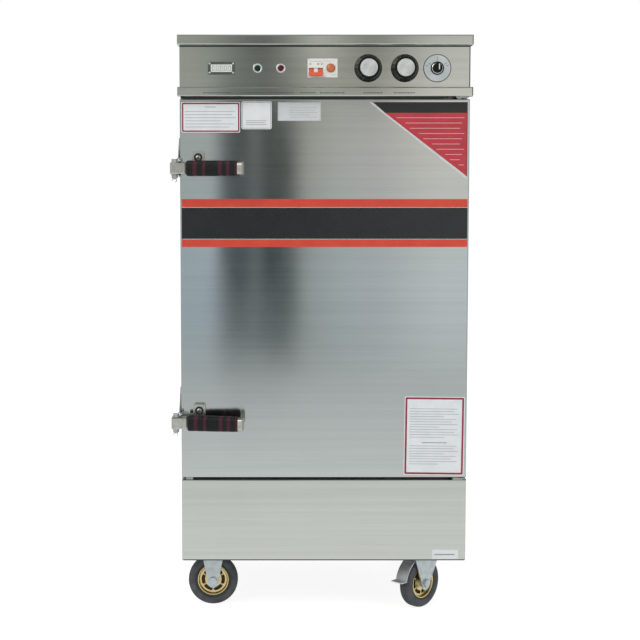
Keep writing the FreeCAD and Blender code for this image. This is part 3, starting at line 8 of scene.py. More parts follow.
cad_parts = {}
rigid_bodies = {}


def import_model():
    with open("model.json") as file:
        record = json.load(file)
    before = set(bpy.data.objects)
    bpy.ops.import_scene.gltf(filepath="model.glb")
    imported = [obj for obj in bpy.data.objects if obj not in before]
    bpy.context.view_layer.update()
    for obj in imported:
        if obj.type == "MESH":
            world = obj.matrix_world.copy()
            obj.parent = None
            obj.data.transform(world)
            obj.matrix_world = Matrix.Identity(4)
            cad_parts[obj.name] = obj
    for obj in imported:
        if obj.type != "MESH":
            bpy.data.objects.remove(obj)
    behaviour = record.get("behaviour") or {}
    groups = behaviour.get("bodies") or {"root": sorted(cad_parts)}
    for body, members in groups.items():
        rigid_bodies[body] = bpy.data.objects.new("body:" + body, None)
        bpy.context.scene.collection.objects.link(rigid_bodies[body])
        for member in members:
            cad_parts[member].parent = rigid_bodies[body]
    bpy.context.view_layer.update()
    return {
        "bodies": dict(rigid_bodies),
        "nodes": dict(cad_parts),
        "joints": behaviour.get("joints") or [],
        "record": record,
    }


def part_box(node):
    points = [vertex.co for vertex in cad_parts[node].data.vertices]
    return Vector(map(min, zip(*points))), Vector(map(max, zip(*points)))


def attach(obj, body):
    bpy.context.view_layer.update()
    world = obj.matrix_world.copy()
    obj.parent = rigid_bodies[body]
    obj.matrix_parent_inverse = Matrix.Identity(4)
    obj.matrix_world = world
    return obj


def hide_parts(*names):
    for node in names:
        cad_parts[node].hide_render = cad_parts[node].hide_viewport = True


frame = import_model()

scene = bpy.context.scene
scene.view_settings.view_transform = "Standard"
nodes = frame["nodes"]
print("stage: frame,", len(nodes), "nodes")


# Colour and shader helpers


def paint(code):
    # An sRGB hex code as the linear colour that a shader takes
    parts = [int(code[place:place + 2], 16) / 255 for place in (1, 3, 5)]
    return [part / 12.92 if part <= 0.04045 else ((part + 0.055) / 1.055) ** 2.4 for part in parts] + [1.0]


def addNode(tree, kind, inputs=None, **settings):
    made = tree.nodes.new(kind)
    for key, value in settings.items():
        setattr(made, key, value)
    for key, value in (inputs or {}).items():
        if isinstance(value, bpy.types.NodeSocket):
            tree.links.new(value, made.inputs[key])
        else:
            made.inputs[key].default_value = value
    return made


def newSurface(name, sockets):
    material = bpy.data.materials.new(name)
    material.use_nodes = True
    tree = material.node_tree
    shader = tree.nodes["Principled BSDF"]
    for key, value in sockets.items():
        shader.inputs[key].default_value = value
    place = addNode(tree, "ShaderNodeTexCoord").outputs["Object"]
    return material, tree, shader, place


def noise(tree, place, sizes, detail=3.0, rough=0.5):
    # Noise whose blotches have these sizes in millimetres along x, y and z
    scale = [1000 / size for size in sizes]
    moved = addNode(tree, "ShaderNodeMapping", {"Vector": place, "Scale": scale})
    kit = {"Vector": moved.outputs[0], "Scale": 1.0, "Detail": detail, "Roughness": rough}
    return addNode(tree, "ShaderNodeTexNoise", kit).outputs["Fac"]


def mapped(tree, value, low, high, start=0.3, end=0.7):
    kit = {"Value": value, "From Min": start, "From Max": end, "To Min": low, "To Max": high}
    return addNode(tree, "ShaderNodeMapRange", kit).outputs[0]


def blended(tree, share, first, second):
    mix = addNode(tree, "ShaderNodeMix", data_type="RGBA")
    tree.links.new(share, mix.inputs["Factor"])
    for key, colour in ((6, first), (7, second)):
        if isinstance(colour, bpy.types.NodeSocket):
            tree.links.new(colour, mix.inputs[key])
        else:
            mix.inputs[key].default_value = colour
    return mix.outputs[2]


def between(tree, value, start, end):
    # 0 up to the start and 1 from the end on
    return mapped(tree, value, 0.0, 1.0, start, end)


def relief(tree, height, depthMm, under=None):
    kit = {"Height": height, "Strength": 1.0, "Distance": depthMm / 1000}
    if under is not None:
        kit["Normal"] = under
    return addNode(tree, "ShaderNodeBump", kit).outputs[0]


def summed(tree, first, second, operation="ADD"):
    return addNode(tree, "ShaderNodeMath", {0: first, 1: second}, operation=operation).outputs[0]


def chosen(tree, share, first, second):
    # The first shader where the share is 0 and the second where it is 1
    kit = {0: share, 1: first.outputs[0], 2: second.outputs[0]}
    return addNode(tree, "ShaderNodeMixShader", kit)


def grain(tree, axis):
    # The direction in which an anisotropic gloss is stretched
    return addNode(tree, "ShaderNodeTangent", direction_type="RADIAL", axis=axis).outputs[0]


def product(tree, first, second):
    kit = {0: first, 1: second}
    return addNode(tree, "ShaderNodeVectorMath", kit, operation="MULTIPLY").outputs[0]


def lengthOf(tree, vector):
    return addNode(tree, "ShaderNodeVectorMath", {0: vector}, operation="LENGTH").outputs["Value"]


def feed(tree, shader, sockets):
    for key, value in sockets.items():
        tree.links.new(value, shader.inputs[key])


# Finishes. Pattern sizes are real sizes in millimetres.


def brushedSteel(name, tone, dull, roughness, across, wave=0.25):
    # Stainless sheet with a very fine grain: it mirrors the room in soft upright columns, with faint
    # streaks and hand marks that only show in the gloss.
    sockets = {"Metallic": 1.0, "Anisotropic": 0.8, "Anisotropic Rotation": 0.25}
    material, tree, shader, place = newSurface(name, sockets)
    long, thin, band = 340.0, 0.7, 9.0
    fine = [thin if axis in across else long for axis in "XYZ"]
    broad = [band if axis in across else long * 2 for axis in "XYZ"]
    hairs = noise(tree, place, fine, 2.0, 0.6)
    streaks = noise(tree, place, broad, 1.0, 0.5)
    hands = noise(tree, place, (150, 150, 210), 3.0, 0.55)
    share = between(tree, summed(tree, hairs, streaks), 0.7, 1.3)
    wear = mapped(tree, hands, -0.012, 0.022, 0.35, 0.72)
    sheen = mapped(tree, hairs, roughness - 0.012, roughness + 0.014)
    # The sheet isn't quite flat: slow waves under the hairs
    slow = relief(tree, noise(tree, place, (520, 520, 1100), 1.0, 0.4), wave)
    feed(tree, shader, {
        "Base Color": blended(tree, share, paint(dull), paint(tone)), "Roughness": summed(tree, wear, sheen),
        "Normal": relief(tree, hairs, 0.0004, slow), "Tangent": grain(tree, "Z"),
    })
    return material


def mottled(name, tone, second, rough, blotch, bumpMm, depthMm, sockets=None):
    # A surface of two near tones in soft blotches, with uneven gloss and a fine relief
    material, tree, shader, place = newSurface(name, sockets or {})
    clouds = mapped(tree, noise(tree, place, (blotch,) * 3, 4.0, 0.6), 0.0, 1.0)
    grit = noise(tree, place, (bumpMm,) * 3, 3.0, 0.6)
    feed(tree, shader, {
        "Base Color": blended(tree, clouds, paint(tone), paint(second)),
        "Roughness": mapped(tree, grit, *rough), "Normal": relief(tree, grit, depthMm),
    })
    return material


def spunMetal(name, tone, dull, centre, metallic):
    # A turned face: concentric rings that throw two opposite fans of light
    material, tree, shader, place = newSurface(name, {"Metallic": metallic, "Anisotropic": 0.75})
    middle = [-part / 1000 for part in centre]
    moved = addNode(tree, "ShaderNodeMapping", {"Vector": place, "Location": middle}).outputs[0]
    reach = lengthOf(tree, product(tree, moved, (1, 0, 1)))
    kit = {"W": reach, "Scale": 1800.0, "Detail": 3.0}
    rings = addNode(tree, "ShaderNodeTexNoise", kit, noise_dimensions="1D").outputs["Fac"]
    feed(tree, shader, {
        "Base Color": blended(tree, rings, paint(dull), paint(tone)),
        "Roughness": mapped(tree, rings, 0.24, 0.38),
        "Normal": relief(tree, rings, 0.02), "Tangent": grain(tree, "Y"),
    })
    return material


metal, shine = {"Metallic": 1.0}, "Specular IOR Level"
thinCoat, glassCoat = {"Coat Weight": 0.5}, {"Coat Weight": 1.0}
# Name, tone, duller tone, roughness, axes across the grain, and the sheet's wave in millimetres
brushed = {
    # 304 sheet, hairline grain along the cabinet
    "casing_steel": ("stainless_hairline_casing", "#cacbc6", "#c2c3be", 0.12, "Z"),
    "door_steel": ("stainless_hairline_door", "#c5c9c8", "#bfc3c2", 0.1, "Z", 0.35),
    "top_steel": ("stainless_hairline_top", "#cacbc6", "#c2c3be", 0.14, "YZ"),
    # The chamber is duller: a mill finish, steamed and wiped
    "inner_steel": ("stainless_mill_chamber", "#b7bab6", "#9c9f9b", 0.42, "Z", 0.8),
}
# Name, two tones, least and most roughness, blotch, grain and depth of relief in millimetres
plain = {
    # Bare mild angle under a thin grey primer: dull and cold
    "frame_steel": ("primed_steel_frame", "#8d9091", "#7b7d7d", (0.4, 0.6), 40, 1.5, 0.03, {"Metallic": 0.6}),
    # Loose fibres and open foam: no shine at all
    "insulation": ("mineral_wool_blanket", "#c9b98a", "#b39c66", (0.9, 1.0), 14, 1.2, 0.6),
    "door_foam": ("rigid_foam_core", "#d9cda2", "#c6b888", (0.85, 0.95), 10, 0.8, 0.2),
    # Grey silicone extrusion, matt with a slight sheen
    "seal_rubber": ("silicone_seal_grey", "#8c8f90", "#7a7d7e", (0.45, 0.6), 60, 3.0, 0.03),
    # Oily brown metal, darker where it bears
    "bronze": ("oiled_bronze_bush", "#a5763f", "#8a5d2e", (0.3, 0.45), 8, 0.8, 0.01, metal),
    # Bright zinc plate, slightly blue, with soft clouds
    "zinc_steel": ("bright_zinc_plate", "#cdd3d4", "#b0b6b8", (0.3, 0.46), 16, 1.4, 0.02, {"Metallic": 0.8}),
    # Warm grey cast metal with a soft, broad shine
    "latch_steel": ("satin_stainless_casting", "#d2d0c9", "#b9b7b0", (0.26, 0.4), 12, 1.0, 0.015, metal),
    # Blacks with a low, soft shine, so that they stay black under the lamps
    "grip_plastic": ("grip_rubber_black", "#101415", "#191d1e", (0.42, 0.58), 9, 0.7, 0.05, {shine: 0.22}),
    "black_plastic":
        ("phenolic_black_satin", "#0c0f0e", "#131615", (0.36, 0.48), 14, 1.8, 0.008, {shine: 0.2}),
    "meter_plastic": ("abs_charcoal_fine_texture", "#434943", "#4d534d", (0.42, 0.54), 10, 0.5, 0.02),
    # Deep coloured lenses, dark when unlit
    "lens_green": ("lamp_lens_green", "#08261b", "#0d3526", (0.12, 0.2), 6, 1.5, 0.02, {shine: 0.2}),
    "lens_red": ("lamp_lens_red", "#4c0e1e", "#621326", (0.12, 0.2), 6, 1.5, 0.02, {shine: 0.2}),
    # Moulded plastics, clean and evenly satin
    "white_plastic": ("switchgear_white_abs", "#e4e3df", "#d8d7d1", (0.3, 0.42), 18, 0.8, 0.01),
    "orange_plastic": ("switch_orange_red", "#e2643f", "#d65530", (0.28, 0.4), 10, 1.0, 0.01),
    "amber_plastic": ("button_amber_copper", "#c96f3c", "#b65c2b", (0.16, 0.26), 8, 1.0, 0.008, thinCoat),
    "grey_plastic": ("moulded_grey_nylon", "#5b5f61", "#4d5153", (0.42, 0.55), 16, 0.9, 0.02),
    # Turned and drawn metals, from the bright rim to the tube browned by heat
    "cap_aluminium": ("spun_aluminium_rim", "#cfd0ce", "#b8b9b7", (0.22, 0.34), 10, 0.6, 0.01, metal),
    "heater_steel": ("heater_tube_oxidised", "#6f6a62", "#57524c", (0.38, 0.55), 18, 1.2, 0.02, metal),
    "brass": ("turned_brass", "#c6a355", "#ab8840", (0.24, 0.38), 10, 0.8, 0.012, metal),
    "pipe_steel": ("stainless_tube_satin", "#bfc1be", "#a6a9a6", (0.28, 0.4), 22, 1.0, 0.012, metal),
    # Pressed sheet, greyed by steam
    "tray_aluminium":
        ("pressed_aluminium_tray", "#d3d5d6", "#bcbec0", (0.34, 0.5), 45, 2.2, 0.03, {"Metallic": 0.55}),
    # Black rubber greyed by floor dust
    "tyre_rubber": ("tyre_rubber_dusty", "#3a3c3f", "#54555a", (0.6, 0.78), 26, 1.1, 0.12),
    # Yellow passivated zinc, gold with a straw and pink play
    "rim_gold": ("yellow_zinc_pressing", "#dfc68b", "#d2c08c", (0.22, 0.36), 9, 1.0, 0.015, metal),
}
details = {
    # Rubber and shadows
    "bandRed": ("grip_band_dark_red", "#4a1a2b", "#3a1422", (0.4, 0.55), 8, 0.7, 0.04, {shine: 0.25}),
    "tyreDark": ("tyre_bead_black", "#26282a", "#33363a", (0.5, 0.66), 18, 1.0, 0.06),
    "slotDark": ("rim_shadow_brown", "#33240f", "#4a3416", (0.6, 0.8), 6, 1.0, 0.02),
    # Dark marks and ring on the switch plate, its numbers and the keeper washers, and painted shade in screw
    # slots
    "printAndShadeDark": ("dark_print_and_painted_recess_shade", "#1a1b1c", "#232526", (0.6, 0.8), 4, 0.5, 0.01),
    # Painted shade: the dark of shadow lines in gaps and under lips
    "shadeLineDark": ("painted_shade_line_dark", "#2a302c", "#343a36", (0.5, 0.66), 12, 0.9, 0.02),
    # Vinyl: satin papers, matt print and glossy films
    "paperWhite": ("vinyl_white_satin", "#dfe2e4", "#d5d9dc", (0.3, 0.42), 30, 0.9, 0.006),
    "paperPale": ("vinyl_pale_grey", "#c8cccd", "#bdc2c3", (0.3, 0.42), 30, 0.9, 0.006),
    "inkRed": ("print_dark_red", "#96253a", "#862034", (0.32, 0.42), 12, 0.8, 0.004),
    "inkGrey": ("print_blue_grey", "#8f9aa6", "#a3adb7", (0.34, 0.44), 5, 0.8, 0.004),
    "inkDark": ("print_charcoal", "#3f4542", "#4b514e", (0.36, 0.46), 5, 0.8, 0.004),
    "inkSlate": ("print_slate_grey", "#8d9992", "#7d8982", (0.34, 0.44), 5, 0.8, 0.004),
    "inkPale": ("print_pale_on_red", "#d5a3a3", "#c99294", (0.34, 0.44), 5, 0.8, 0.004),
    "filmRed": ("vinyl_signal_red", "#b83440", "#aa2f3b", (0.26, 0.36), 40, 1.0, 0.006),
    "filmMaroon": ("vinyl_maroon", "#5c2230", "#51202c", (0.26, 0.36), 40, 1.0, 0.006),
    "filmBlack": ("vinyl_black_gloss", "#17181a", "#1e2022", (0.2, 0.32), 60, 1.2, 0.006),
    "filmOrange": ("vinyl_orange_red", "#cf4530", "#c53d2a", (0.24, 0.34), 50, 1.0, 0.006),
    # Small bright metal, from the mirror of chrome to a straw-coloured weld
    "chrome": ("polished_chrome", "#dfe2e3", "#cdd1d3", (0.06, 0.14), 12, 1.2, 0.006, metal),
    "bezel": ("chromed_brass_bezel", "#f2f4f3", "#e4e7e6", (0.16, 0.26), 12, 1.2, 0.006, {"Metallic": 0.7}),
    "screwSteel": ("screw_nickel_plate", "#c9cac8", "#adafad", (0.2, 0.34), 5, 0.5, 0.01, metal),
    "weld": ("tig_weld_straw", "#b0a691", "#8d8b88", (0.3, 0.5), 5, 1.6, 0.12, metal),
    # Clear pane over a pale dial, the marks printed on knobs and the white stripe on the switch knob's grip
    "glassPale": ("meter_glass_pale", "#f0f5f0", "#e4ebe5", (0.12, 0.2), 20, 2.0, 0.004, glassCoat),
    "markGrey": ("pad_printed_grey", "#a4a7a4", "#929592", (0.4, 0.5), 6, 0.6, 0.004),
    "markWhite": ("white_grip_stripe", "#e6e6e2", "#d9d9d4", (0.4, 0.5), 6, 0.6, 0.004),
}
finishes = {key: brushedSteel(*values) for key, values in brushed.items()}
finishes.update({key: mottled(*values) for key, values in {**plain, **details}.items()})
print("stage: finishes,", len(finishes), "materials")

for entry in frame["record"]["subparts"]:
    slot = "top_steel" if entry["node"] == "top_cover" else entry["material_slot"]
    painted = nodes[entry["node"]].data.materials
    painted.clear()
    painted.append(finishes[slot])


# Mesh helpers, in millimetres until a piece is finished


def span(bm, before, slotIndex, matrix):
    # Gives the faces made since before a material slot, and moves them
    fresh = [face for face in bm.faces if face not in before]
    for face in fresh:
        face.material_index = slotIndex
    if matrix is not None:
        points = list({vert for face in fresh for vert in face.verts})
        bmesh.ops.transform(bm, matrix=matrix, verts=points)


def addRings(bm, rings, slots=0, hollow=False):
    # Joins rings of equal count into one closed skin. The slots are one number, or one for each ring.
    loops = [[bm.verts.new(point) for point in ring] for ring in rings]
    if not isinstance(slots, (list, tuple)):
        slots = [slots] * len(loops)
    if hollow:
        loops.append(loops[0])
    count = len(loops[0])
    for level, (near, far) in enumerate(zip(loops, loops[1:])):
        for corner in range(count):
            after = (corner + 1) % count
            face = bm.faces.new((near[corner], near[after], far[after], far[corner]))
            face.material_index = slots[level]
    if not hollow:
        bm.faces.new(list(reversed(loops[0]))).material_index = slots[0]
        bm.faces.new(loops[-1]).material_index = slots[-1]


def addLathe(bm, outline, centre, axis, slots=0, steps=48, hollow=False):
    # Turns pairs of radius and distance along the axis
    aim = Vector(axis).normalized()
    side = aim.orthogonal().normalized()
    up = aim.cross(side)
    rings = []
    for radius, along in outline:
        ring = []
        for step in range(steps):
            angle = 2 * math.pi * step / steps
            spoke = side * math.cos(angle) + up * math.sin(angle)
            ring.append(Vector(centre) + aim * along + spoke * max(radius, 0.02))
        rings.append(ring)
    addRings(bm, rings, slots, hollow)


def addBlock(bm, low, high, bevel, slotIndex=0, matrix=None):
    before = set(bm.faces)
    made = bmesh.ops.create_cube(bm, size=1.0)["verts"]
    size = [b - a for a, b in zip(low, high)]
    for vert in made:
        vert.co = Vector([a + (part + 0.5) * s for a, part, s in zip(low, vert.co, size)])
    if bevel:
        edges = list(dict.fromkeys(edge for vert in made for edge in vert.link_edges))
        bmesh.ops.bevel(bm, geom=edges, offset=bevel, segments=2, profile=0.5, affect="EDGES")
    span(bm, before, slotIndex, matrix)


def roundOutline(x0, x1, z0, z1, radius, steps=5):
    # A rounded rectangle, anticlockwise seen from the front
    points = []
    for cx, cz, turn in ((x1, z1, 0), (x0, z1, 1), (x0, z0, 2), (x1, z0, 3)):
        mx = cx - radius if cx == x1 else cx + radius
        mz = cz - radius if cz == z1 else cz + radius
        for step in range(steps + 1):
            angle = math.pi / 2 * (turn + step / steps)
            points.append((mx + radius * math.cos(angle), mz + radius * math.sin(angle)))
    return points


def boxAt(x, z, box):
    # A box of left, right, bottom and top, moved to a centre
    return x + box[0], x + box[1], z + box[2], z + box[3]


def atDepth(outline, y):
    return [(x, y, z) for x, z in outline]


def addSlab(bm, outline, y0, y1, slotIndex=0, soft=0.0):
    # A flat plate that faces the front, from an outline of x and z
    rings = [atDepth(outline, y1), atDepth(outline, y0)]
    if soft:
        cx = sum(x for x, z in outline) / len(outline)
        cz = sum(z for x, z in outline) / len(outline)
        wide = 1 - soft / max(abs(x - cx) for x, z in outline)
        tall = 1 - soft / max(abs(z - cz) for x, z in outline)
        face = [(cx + (x - cx) * wide, cz + (z - cz) * tall) for x, z in outline]
        rings = [rings[0], atDepth(outline, y0 + soft), atDepth(face, y0)]
    addRings(bm, rings, slotIndex)


def addFrame(bm, outer, inner, y0, y1, slotIndex):
    rings = [atDepth(outer, y1), atDepth(outer, y0), atDepth(inner, y0), atDepth(inner, y1)]
    addRings(bm, rings, slotIndex, hollow=True)


def turned(centre, degrees, axis):
    # A turn about one axis through a centre
    return Matrix.Translation(centre) @ Matrix.Rotation(math.radians(degrees), 4, axis)


def asMesh(bm, name):
    bmesh.ops.recalc_face_normals(bm, faces=bm.faces)
    bmesh.ops.scale(bm, vec=(0.001, 0.001, 0.001), verts=bm.verts)
    mesh = bpy.data.meshes.new(name)
    bm.to_mesh(mesh)
    bm.free()
    return mesh


def shaded(mesh, sharp):
    mesh.polygons.foreach_set("use_smooth", [True] * len(mesh.polygons))
    mesh.set_sharp_from_angle(angle=math.radians(sharp))


def shown(name, data):
    made = bpy.data.objects.new(name, data)
    scene.collection.objects.link(made)
    return made


def finishPiece(bm, name, body, materials, replaced=None, sharp=34):
    mesh = asMesh(bm, name)
    for key in materials:
        mesh.materials.append(finishes[key])
    shaded(mesh, sharp)
    piece = shown(name, mesh)
    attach(piece, body)
    if replaced:
        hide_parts(replaced)


# Camera, room and lights

view = {"place": (-0.1107, -3.805, 1.1026), "pitch": 4.5, "lens": 81.18, "shift": (0.0642, -0.0606)}
cameraData = bpy.data.cameras.new("camera")
cameraData.lens = view["lens"]
cameraData.sensor_width = 36.0
cameraData.shift_x, cameraData.shift_y = view["shift"]
camera = shown("camera", cameraData)
camera.location = view["place"]
camera.rotation_euler = (math.radians(90 - view["pitch"]), 0, 0)
scene.camera = camera


def raysOf(tree):
    # The share of camera rays, and that of the rays which metal and glass send out
    rays = addNode(tree, "ShaderNodeLightPath").outputs
    return rays["Is Camera Ray"], summed(tree, rays["Is Glossy Ray"], rays["Is Transmission Ray"], "MAXIMUM")


def glowOf(tree, colour, strength=1.0):
    return addNode(tree, "ShaderNodeEmission", {"Color": colour, "Strength": strength})


def toOutput(tree, shader):
    tree.links.new(shader.outputs[0], tree.nodes["Material Output"].inputs[0])


pureWhite = (1, 1, 1, 1)
room = {"light": 0.62, "mirror": 0.96}
world = bpy.data.worlds.new("paleStudio")
scene.world = world
world.use_nodes = True
sky = world.node_tree
sky.nodes.clear()
toCamera, toMetal = raysOf(sky)
softLight = addNode(sky, "ShaderNodeBackground", {"Color": paint("#f4f6f8"), "Strength": room["light"]})
# What metal sees: pale walls, a little darker and greener low down and to the left
facing = addNode(sky, "ShaderNodeTexCoord").outputs["Generated"]
aimed = addNode(sky, "ShaderNodeSeparateXYZ", {0: facing}).outputs
wall = blended(sky, between(sky, aimed["Z"], -0.05, 0.5), paint("#dfe1dd"), paint("#f3f4f2"))
wall = blended(sky, between(sky, aimed["X"], -0.35, 0.25), paint("#c6cbc6"), wall)
# Overhead it is greyer, so that the top cover stands out from the background
wall = blended(sky, between(sky, aimed["Z"], 0.2, 0.34), wall, paint("#a4a9a7"))
mirror = addNode(sky, "ShaderNodeBackground", {"Color": wall, "Strength": room["mirror"]})
white = addNode(sky, "ShaderNodeBackground", {"Color": pureWhite, "Strength": 1.0})
sight = chosen(sky, toCamera, chosen(sky, toMetal, softLight, mirror), white)
addNode(sky, "ShaderNodeOutputWorld", {0: sight.outputs[0]})


def stageCard(name, corners, material, metalOnly=True):
    mesh = bpy.data.meshes.new(name)
    mesh.from_pydata(corners, [], [(0, 1, 2, 3)])
    mesh.materials.append(material)
    card = shown(name, mesh)
    if metalOnly:
        card.visible_camera = False
        card.visible_diffuse = False
        card.visible_shadow = False


def uprightCard(name, low, high, height, material):
    # A screen that only metal sees, over a line on the floor
    low, high, rise = Vector(low), Vector(high), Vector((0, 0, height))
    stageCard(name, [low, high, high + rise, low + rise], material)


def floorSurface():
    # Pale floor: plain to the camera and to metal, but it keeps the object's soft shadow
    material, tree, _, place = newSurface("studio_floor_pale", {"Roughness": 0.9})
    tone = blended(tree, noise(tree, place, (900, 900, 900)), paint("#e6e6e3"), paint("#ecece9"))
    matt = addNode(tree, "ShaderNodeBsdfDiffuse", {"Color": tone})
    half = addNode(tree, "ShaderNodeBsdfDiffuse", {"Color": paint("#9a9a99")})
    bright = glowOf(tree, pureWhite, 0.86)
    lit = addNode(tree, "ShaderNodeAddShader", {0: half.outputs[0], 1: bright.outputs[0]})
    # Metal sees a floor that darkens away from the cabinet
    mirrored = glowOf(tree, paint("#f7fbfa"), mapped(tree, lengthOf(tree, place), 1.0, 0.68, 1.3, 4.1))
    toCamera, toMetal = raysOf(tree)
    toOutput(tree, chosen(tree, toMetal, chosen(tree, toCamera, matt, lit), mirrored))
    return material


floorHalf = 40.0
square = [(floorHalf * x, floorHalf * y, 0) for x, y in ((-1, -1), (1, -1), (1, 1), (-1, 1))]
stageCard("floor", square, floorSurface(), False)

# A wall that only metal sees: its upright columns are the room that the real door mirrors. Each
# column is a place along x in metres and the wall's tone there. The foot's tones lie lowest; the
# zones give the heights over which the door's tones and those above take over from the ones below.
mirrorWall = {
    "x": (-1.5, 1.9), "y": -4.8, "height": 2.7,
    "warming": (0.6, 1.15), "warm": (1.14, 1.02, 0.9, 1), "ledgeGain": (1.28, 1.27, 1.3),
}
wallZones = {"door": (-0.14, 0.44), "ledge": (1.455, 1.475), "fascia": (1.56, 1.62), "lip": (1.71, 1.76)}
wallColumns = {
    "foot": ((-1.5, "#b4c2c8"), (-0.5, "#b4c0c6"), (-0.42, "#8a9396"), (-0.05, "#8d9493"), (0.04, "#a6acaa"),
             (0.3, "#bcc4c3"), (0.8, "#dde3e4"), (1.9, "#e2e8e6")),
    "door": ((-1.5, "#b4c2c8"), (-0.6, "#bdced6"), (-0.467, "#ccd9e3"), (-0.417, "#4f585f"),
             (-0.3, "#474f56"), (-0.265, "#7f878c"), (-0.225, "#7f878c"), (-0.19, "#474f53"),
             (-0.05, "#575f61"), (0.035, "#bac0c1"), (0.23, "#c8d3d7"), (0.45, "#d2d6df"), (0.62, "#dee4e6"),
             (0.8, "#e8eff2"), (1.9, "#e2e8e8")),
    "fascia": ((-1.5, "#b8b9b3"), (-0.6, "#b8b9b3"), (-0.41, "#9ca79f"), (-0.19, "#7d817f"),
               (-0.05, "#989b93"), (0.25, "#888a7d"), (0.34, "#8b8c82"), (0.4, "#787974"), (0.46, "#9a9b91"),
               (0.72, "#a4a29b"), (0.93, "#e0dedb"), (1.9, "#d6d6d2")),
    "ledge": ((-1.5, "#9da097"), (-0.6, "#999f95"), (-0.38, "#8b928a"), (-0.19, "#7a8078"), (0.01, "#a1a69c"),
              (0.17, "#acafa3"), (0.39, "#a8aa9e"), (0.5, "#c5c6be"), (0.73, "#ffffff"), (0.9, "#eeefe9"),
              (1.9, "#e2e2de")),
    "lip": ((-1.5, "#b9bdb5"), (-0.62, "#b9bdb5"), (-0.44, "#a3aaa2"), (-0.2, "#4c5250"), (-0.02, "#b4b8b1"),
            (0.12, "#ffffff"), (0.25, "#c2c6bf"), (0.4, "#50564f"), (0.55, "#b4b8b1"), (0.73, "#e2e5df"),
            (1.9, "#d9dbd6")),
}


def columnRamp(tree, value, columns, start, end):
    ramp = addNode(tree, "ShaderNodeValToRGB", {"Fac": between(tree, value, start, end)})
    elements = ramp.color_ramp.elements
    elements[0].position, elements[1].position = 0.0, 1.0
    for x, tone in columns[1:-1]:
        elements.new((x - start) / (end - start)).color = paint(tone)
    elements[0].color, elements[-1].color = paint(columns[0][1]), paint(columns[-1][1])
    return ramp.outputs["Color"]


def wallSurface():
    material, tree, _, place = newSurface("studio_wall_columns", {"Roughness": 1.0})
    along = addNode(tree, "ShaderNodeSeparateXYZ", {0: place}).outputs
    x, z, ends = along["X"], along["Z"], mirrorWall["x"]
    tones = {key: columnRamp(tree, x, columns, *ends) for key, columns in wallColumns.items()}
    # The door's tones grow warmer upwards, and the ledge's are brighter than a hex code can say
    warm = blended(tree, between(tree, z, *mirrorWall["warming"]), pureWhite, mirrorWall["warm"])
    tones["door"] = product(tree, tones["door"], warm)
    tones["ledge"] = product(tree, tones["ledge"], mirrorWall["ledgeGain"])
    share = {key: between(tree, z, *heights) for key, heights in wallZones.items()}
    upper = tones["door"]
    for key in ("ledge", "fascia", "lip"):
        upper = blended(tree, share[key], upper, tones[key])
    toOutput(tree, glowOf(tree, blended(tree, share["door"], tones["foot"], upper)))
    return material


ends = [(x, mirrorWall["y"], 0) for x in mirrorWall["x"]]
uprightCard("mirrorWall", *ends, mirrorWall["height"], wallSurface())

# Dark screens that give the sides and back their edges, also seen by metal alone
screens = {
    "rightScreen": ((3.2, -1.6, 0.0), (3.2, -0.9, 0.0), "#565b5a"),
    "leftScreen": ((-3.4, 0.2, 0.0), (-3.4, 1.3, 0.0), "#4d5251"),
    "rearScreen": ((0.5, 3.6, 0.0), (1.3, 3.6, 0.0), "#4a4f4e"),
}
screenFade = {"height": 0.5, "foot": "#8d9391", "top": 2.4}
for name, (start, end, tone) in screens.items():
    dark, tree, _, place = newSurface("screen_" + name, {"Roughness": 1.0})
    rise = addNode(tree, "ShaderNodeSeparateXYZ", {0: place}).outputs["Z"]
    fade = between(tree, rise, 0.0, screenFade["height"])
    toOutput(tree, glowOf(tree, blended(tree, fade, paint(screenFade["foot"]), paint(tone))))
    uprightCard(name, start, end, screenFade["top"], dark)

# Place in metres, power in watts, size in metres and colour
lamps = {
    "keyLamp": ((-2.4, -3.0, 3.3), 70.0, 2.2, "#fff8f0"),
    "fillLamp": ((2.8, -2.4, 2.2), 34.0, 2.4, "#f2f6ff"),
    "topLamp": ((0.2, 0.3, 3.9), 42.0, 2.6, "#ffffff"),
    "backLamp": ((0.8, 3.2, 2.6), 34.0, 2.2, "#f6f8ff"),
}
lampAim = Vector((0, 0, 0.75))
for name, (place, power, size, tone) in lamps.items():
    light = bpy.data.lights.new(name, "AREA")
    light.energy, light.size, light.color = power, size, paint(tone)[:3]
    lamp = shown(name, light)
    lamp.location = place
    lamp.rotation_euler = (lampAim - Vector(place)).to_track_quat("-Z", "Y").to_euler()
    # Only the key lamp shows in the metal: the others would burn white patches into it
    lamp.visible_glossy = name == "keyLamp"
print("stage: camera, room and lamps")


# Door films: plain bands, frames and rule lines, with no wording. A film is a thin slab on the
# door's face, and its print stands a hair proud of it.

toFront = (0, -1, 0)
doorFace = -305.0
film = 0.25
filmDepth = (doorFace - film, doorFace - 0.02)
printDepth = (doorFace - film - 0.06, doorFace - film + 0.05)


def inset(box, by, radius):
    x0, x1, z0, z1 = box
    return roundOutline(x0 + by, x1 - by, z0 + by, z1 - by, radius)


def plate(bm, x0, x1, z0, z1, y0, y1, slotIndex=0, bevel=0.0):
    # A flat block that faces the front
    addBlock(bm, (x0, y0, z0), (x1, y1, z1), bevel, slotIndex)


def ruleLines(bm, x0, x1, zTop, step, count, thick, slotIndex):
    for row in range(count):
        z = zTop - row * step
        end = x0 + (x1 - x0) * lineLengths[row % len(lineLengths)]
        plate(bm, x0, end, z - thick, z, doorFace - film - 0.05, doorFace - film, slotIndex)


